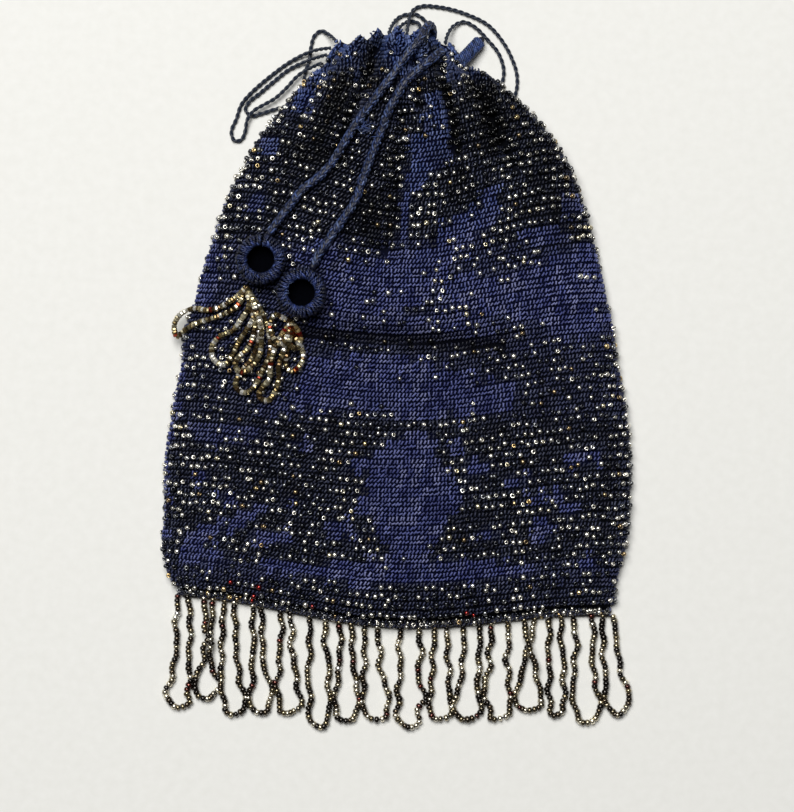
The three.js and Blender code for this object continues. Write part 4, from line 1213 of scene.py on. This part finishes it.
def hem_edging(draw):
    """Yarn laid along the hem's edge in three rows, where front and back are worked together."""
    rows = (0.15, 0.5, 0.88)
    lowest, edge_under, room = 1.3, 1.5, 0.4
    turns = np.linspace(0.06 * math.pi, 0.94 * math.pi, 78)
    line = bag_place(np.full(len(turns), HEM_LEVEL), turns)
    along = np.gradient(line, axis=0)
    along[:, 2] = 0
    along /= np.linalg.norm(along, axis=1, keepdims=True)
    upwards = np.tile((0.0, 0.0, 1.0), (len(turns), 1))
    out = np.cross(along, upwards)
    places, ways = [], []
    for share in rows:
        spot = line - out * np.sign(out[:, 1:2])
        spot[:, 2] = lowest + share * np.maximum(line[:, 2] - edge_under, room)
        places.append(spot + draw.normal(0, 0.12, spot.shape))
        ways.append(np.stack((along, upwards, out), -1))
    places, ways = np.concatenate(places), np.concatenate(ways)
    count = len(places)
    ways = turned(ways, 0.15 + draw.normal(0, 0.1, count))
    sizes = np.tile((0.56 * STITCH, YARN_HALF, YARN_HALF), (count, 1)) * draw.normal(1, 0.1, (count, 1))
    tints = palette(BEADED_COTTON, count, draw, 0.15)
    mesh = strewn("crochet_hem", DASH, places, ways, sizes, tints)
    new_piece("crochet_hem", mesh, COTTON)


def loose_fibres(draw):
    """Fine fibres that stand off the cups' rims and off the cord where it has rubbed."""
    on_each_cup, on_cord = 60, 40
    half_thick = 0.07
    rounded_from, rounded_drop = 0.75, 2.4
    centres = []
    for name, (x, y) in CUPS.items():
        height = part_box(name)[1][2] / MM
        for turn in draw.uniform(0, TAU, on_each_cup):
            reach = draw.uniform(CUP_MOUTH / 2, CUP_OUTSIDE / 2 + 0.3)
            past = max(0.0, reach / (CUP_OUTSIDE / 2) - rounded_from)
            drop = rounded_drop * past / (1 - rounded_from)
            centres.append((x + reach * math.cos(turn), y + reach * math.sin(turn), height - 0.1 - drop))
    for _ in range(on_cord):
        centres.append(tuple(draw.normal(at, spread) for at, spread in zip(WORN_PLACE, WORN_SPREAD)))
    count = len(centres)
    ways = np.tile(np.eye(3), (count, 1, 1))
    ways = tipped(turned(ways, draw.uniform(0, TAU, count)), draw.normal(0, 0.35, count))
    sizes = np.stack((draw.uniform(0.8, 1.9, count),
                      np.full(count, half_thick), np.full(count, half_thick)), -1)
    tints = palette(FIBRE_COLOURS, count, draw, 0.2)
    mesh = strewn("loose_fibres", DASH, np.array(centres), ways, sizes, tints)
    new_piece("loose_fibres", mesh, COTTON)


def beads_along(route, length, pitch, draw, wobble):
    """Places and ways of beads threaded along a route."""
    count = max(2, round(length / pitch))
    at = (np.arange(count) + 0.5) / count * (len(route) - 1)
    along, side, rise = route_frames(route)
    low = np.clip(at.astype(int), 0, len(route) - 2)
    part = (at - low)[:, None]
    places = route[low] * (1 - part) + route[low + 1] * part
    ways = np.stack((side[low], rise[low], along[low]), -1)
    ways = turned(ways, draw.uniform(0, TAU, count))
    ways = tipped(ways, draw.normal(0, wobble, count))
    return places, ways


def band_place(x):
    """The line just below the hem that the fringe hangs from."""
    mid, half, sag, tilt = (float(eased(HEM_LEVEL, name)) for name in ("mid", "half", "sag", "tilt"))
    share = (x - mid * BAG_WIDTH) / (half * HALF_WIDTH)
    rise = sag * BAG_LENGTH * (1 - math.cos(math.pi * share)) / 2
    y = HEM_LEVEL * BAG_LENGTH - HEM_BELOW_ORIGIN + rise - tilt * BAG_LENGTH * share
    return np.array((x, y - 0.003 * BAG_LENGTH - GAP - FRINGE_BAND / 2, FRINGE_BAND / 2))


def loop_points(loop):
    """The points that one loop of the fringe hangs through."""
    row = dict(zip(LOOP_COLUMNS, loop))
    sides = ("right", "left") if row["crosses"] else ("left", "right")
    heads = {side: band_place(row[f"head_{from_side}"] * HALF_WIDTH)
             for side, from_side in zip(("left", "right"), sides)}
    feet = {side: row[f"foot_{side}"] * HALF_WIDTH for side in ("left", "right")}
    feet["middle"] = (feet["left"] + feet["right"]) / 2
    top = (heads["left"][1] + heads["right"][1]) / 2
    outline = [("left", *step) for step in LOOP_SIDE]
    outline += [("middle", 1, 1)]
    outline += [("right", *step) for step in reversed(LOOP_SIDE)]
    points = [heads["left"]]
    for side, down, across in outline:
        start = feet["middle"] if down > LOW_LOOP or side == "middle" else heads[side][0]
        over = CROSSING_LIFT if row["crosses"] and side == "right" and down < CROSSING_ENDS else 0
        points.append((start + (feet[side] - start) * across,
                       top - down * row["drop"] * FRINGE_LENGTH, FRINGE_BEAD / 2 + over))
    points.append(heads["right"])
    return points


def fringe(draw):
    """Loops of seed beads on waxed thread, hanging from a line of beads along the hem."""
    sway, waves, calm_ends = 0.6, (9.5, 15), 8
    places, ways, threads = [], [], []
    for loop in LOOPS:
        points = loop_points(loop)
        bent = []
        for i, point in enumerate(points):
            aside = 0 if i in (0, len(points) - 1) else draw.normal(0, sway)
            bent.append((point[0] + aside, point[1], point[2] + 0.28))
        route, length = smooth_route(bent, 0.8)
        gone = np.linspace(0, length, len(route))
        calm = np.minimum(1, np.minimum(gone, length - gone) / calm_ends)
        for wave in waves:
            start, high = draw.uniform(0, TAU), draw.uniform(0.25, 0.6)
            route[:, 0] += high * calm * np.sin(TAU * gone / wave + start)
        spots, turns = beads_along(route, length, FRINGE_PITCH, draw, 0.15)
        places.append(spots)
        ways.append(turns)
        threads.append(swept("thread", route, np.full(len(route), THREAD_HALF), 6))
    band = [band_place(x) for x in np.linspace(-0.92 * HALF_WIDTH, 0.91 * HALF_WIDTH, 40)]
    route, length = smooth_route(band, 1.0)
    for above_band in HEM_BEAD_ROWS:
        spots, turns = beads_along(route, length, 2.5, draw, 0.4)
        places.append(spots + np.array(above_band) + draw.normal(0, 0.3, spots.shape))
        ways.append(turns)
    threads.append(swept("thread", route, np.full(len(route), FRINGE_BAND / 2 - 0.1), 8))
    hem_count = len(places[-1]) + len(places[-2])
    places, ways = np.concatenate(places), np.concatenate(ways)
    radius = FRINGE_BEAD / 2 * draw.normal(1, 0.06, len(places))
    radius[-hem_count:] *= BEAD / FRINGE_BEAD
    sizes = np.stack((radius, radius, 0.82 * radius), -1)
    tints = palette(FRINGE_COLOURS, len(places), draw, 0.25)
    tints[-hem_count:] = palette(SEED_COLOURS, hem_count, draw, 0.25)
    mesh = strewn("fringe_beads", SEED_BEAD, places, ways, sizes, tints)
    piece = new_piece("fringe_beads", mesh, LUSTRE)
    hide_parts("fringe")
    new_piece("fringe_thread", joined_meshes("fringe_thread", threads), THREAD)


def tassel(side, draw):
    """A tassel under its cup: looped strings of gilt cut beads heaped on the cloth."""
    head_above, string_above, layer_height = 2.5, 1.9, 2.2
    head = np.array((*HEADS[side], front_height(*HEADS[side]) + head_above))
    places, ways, threads = [], [], []
    for string in STRINGS[side]:
        lying = [np.array((x, y, front_height(x, y) + string_above + layer * layer_height))
                 for x, y, layer in string]
        route, length = smooth_route([head, *lying, head], 0.7)
        spots, turns = beads_along(route, length, TASSEL_PITCH, draw, 0.3)
        places.append(spots)
        ways.append(turns)
        threads.append(swept("thread", route, np.full(len(route), THREAD_HALF), 6))
    places, ways = np.concatenate(places), np.concatenate(ways)
    radius = TASSEL_BEAD / 2 * draw.normal(1, 0.06, len(places))
    sizes = np.stack((radius, radius, radius), -1)
    tints = palette(BRASS_COLOURS, len(places), draw, 0.25)
    amber = palette(AMBER_COLOURS, len(places), draw, 0.2)
    pixel_across, pixel_down = in_pixels(places[:, 0], places[:, 1])
    for across, down, reach in AMBER_SPOTS:
        near = np.hypot(pixel_across - across, pixel_down - down) < reach
        tints[near] = amber[near]
    name = f"tassel_{side}_beads"
    mesh = strewn(name, CUT_BEAD, places, ways, sizes, tints, smooth=False)
    piece = new_piece(name, mesh, GILT)
    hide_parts(f"tassel_{side}")
    name = f"tassel_{side}_thread"
    new_piece(name, joined_meshes(name, threads), THREAD)


def cup_lining(name, foot):
    """The cup under its yarn: a padded rim round a hollow with a floor."""
    x, y = CUPS[name]
    rim = RIM_HALF - YARN_PAD
    outside, mouth = CUP_OUTSIDE / 2, CUP_MOUTH / 2
    section = [
        (CUP_PIN, foot),
        (outside - 2.6, foot),
        (outside - 0.9, foot + 0.9),
        (outside - YARN_PAD, foot + 3),
    ]
    for i in range(9):
        turn = math.pi * i / 8
        section.append((RIM_MIDDLE + rim * math.cos(turn), foot + RIM_HEIGHT + rim * math.sin(turn)))
    section += [
        (mouth + 0.1, foot + CUP_FLOOR + 1),
        (mouth - 1.3, foot + CUP_FLOOR),
        (CUP_PIN, foot + CUP_FLOOR),
    ]
    bm = bmesh.new()
    line = [bm.verts.new((radius * MM, 0, height * MM)) for radius, height in section]
    edges = [bm.edges.new(pair) for pair in zip(line, line[1:])]
    bmesh.ops.spin(bm, geom=line + edges, cent=(0, 0, 0), axis=(0, 0, 1), angle=TAU, steps=36,
                   use_merge=True)
    bmesh.ops.remove_doubles(bm, verts=bm.verts, dist=1e-6)
    bmesh.ops.holes_fill(bm, edges=[edge for edge in bm.edges if edge.is_boundary], sides=0)
    bmesh.ops.recalc_face_normals(bm, faces=bm.faces)
    bmesh.ops.translate(bm, verts=bm.verts, vec=(x * MM, y * MM, 0))
    new_piece(f"{name}_lining", mesh_of(bm, f"{name}_lining"), UNLIT)


def cup(name, draw):
    """A crocheted cup: a thick padded rim wound with yarn round a dark hollow."""
    x, y = CUPS[name]
    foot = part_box(name)[0][2] / MM
    cup_lining(name, foot)
    wraps = 40
    radius = RIM_HALF + 0.05
    places, ways, sizes, lit = [], [], [], []
    for k in range(wraps):
        turn = TAU * (k + draw.normal(0, 0.16)) / wraps
        outwards = np.array((math.cos(turn), math.sin(turn), 0))
        sideways = np.array((-math.sin(turn), math.cos(turn), 0))
        for bend, light in RIM_STROKES:
            spot = outwards * (RIM_MIDDLE + radius * math.cos(bend)) + np.array(
                (x, y, foot + RIM_HEIGHT + radius * math.sin(bend)))
            normal = outwards * math.cos(bend) + np.array((0, 0, math.sin(bend)))
            places.append(spot)
            ways.append(np.stack((np.cross(sideways, normal), sideways, normal), -1))
            sizes.append((1.0, 0.48, 0.55))
            lit.append(light)
        for low in (2.2, 4.2):
            spot = outwards * (CUP_OUTSIDE / 2 - 0.3) + np.array((x, y, foot + low))
            places.append(spot)
            ways.append(np.stack((np.array((0, 0, 1.0)), sideways, outwards), -1))
            sizes.append((1.4, 0.6, 0.55))
            lit.append(0.15)
    ways = turned(np.array(ways), draw.normal(0.12, 0.18, len(places)))
    sizes = np.array(sizes) * draw.normal(1, 0.12, (len(places), 1))
    tints = palette(CUP_COLOURS, len(places), draw, 0.3)
    tints[:, :3] *= np.array(lit)[:, None]
    yarn = strewn(f"crocheted_{name}", DASH, np.array(places), ways, sizes, tints)
    piece = new_piece(f"crocheted_{name}", yarn, COTTON)
    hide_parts(name)
    return piece


def toggle(draw):
    """The short stub by the mouth, wound round with yarn."""
    into_neck, count, columns = 4, 30, 9
    low, high = (np.array(corner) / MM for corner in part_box("toggle"))
    heading = np.array((0.65, 0.7, -0.32))
    heading /= np.linalg.norm(heading)
    radius = TOGGLE_THICKNESS / 2
    start = np.array((low[0] + radius, low[1] + radius, high[2] - radius))
    start = start - into_neck * heading + (-0.8, 0.6, 0)
    end = np.array((high[0] - radius, high[1] - radius, low[2] + radius)) + (-0.8, 0.8, 0)
    route = start + (end - start) * np.linspace(0, 1, count)[:, None]
    route = np.concatenate(([start - heading * radius * 0.9], route, [end + heading * radius * 0.9]))
    radii = np.concatenate(([radius * 0.35], np.full(count, radius * 0.86), [radius * 0.35]))
    core = swept("core", route, radii, 12)
    paint_all(core, CORE_COLOUR)
    along, side, rise = route_frames(route)
    places, ways = [], []
    for i in range(1, len(route) - 1):
        for k in range(columns):
            turn = TAU * (k + 0.5 * (i % 2)) / columns
            out = math.cos(turn) * side[i] + math.sin(turn) * rise[i]
            places.append(route[i] + radius * 0.88 * out)
            ways.append(np.stack((np.cross(out, along[i]), along[i], out), -1))
    tints = palette(TOGGLE_COLOURS, len(places), draw, 0.2)
    sizes = np.tile((1.15, 0.42, 0.4), (len(places), 1))
    ways = turned(np.array(ways), draw.normal(0.15, 0.08, len(places)))
    yarn = strewn("yarn", DASH, np.array(places), ways, sizes, tints)
    piece = new_piece("wound_toggle", joined_meshes("toggle", [core, yarn]), COTTON)
    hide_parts("toggle")


look_down()
draw = np.random.default_rng(11)
cup_pieces = {name: cup(name, draw) for name in CUPS}
crocheted_cord("drawcord_left", draw)
crocheted_cord("drawcord_right", draw)
for cord_name in ("handle_cord_left", "handle_cord_middle", "handle_cord_right", "handle_cord_arches"):
    twisted_cord(cord_name)
cloth_shell()
worked_cloth(draw)
hem_edging(draw)
loose_fibres(draw)
fringe(draw)
tassel("left", draw)
tassel("right", draw)
toggle(draw)
studio()

# Meshes that came from a bmesh are brought up to date
for piece in bpy.context.scene.objects:
    if piece.type == "MESH":
        piece.data.update()
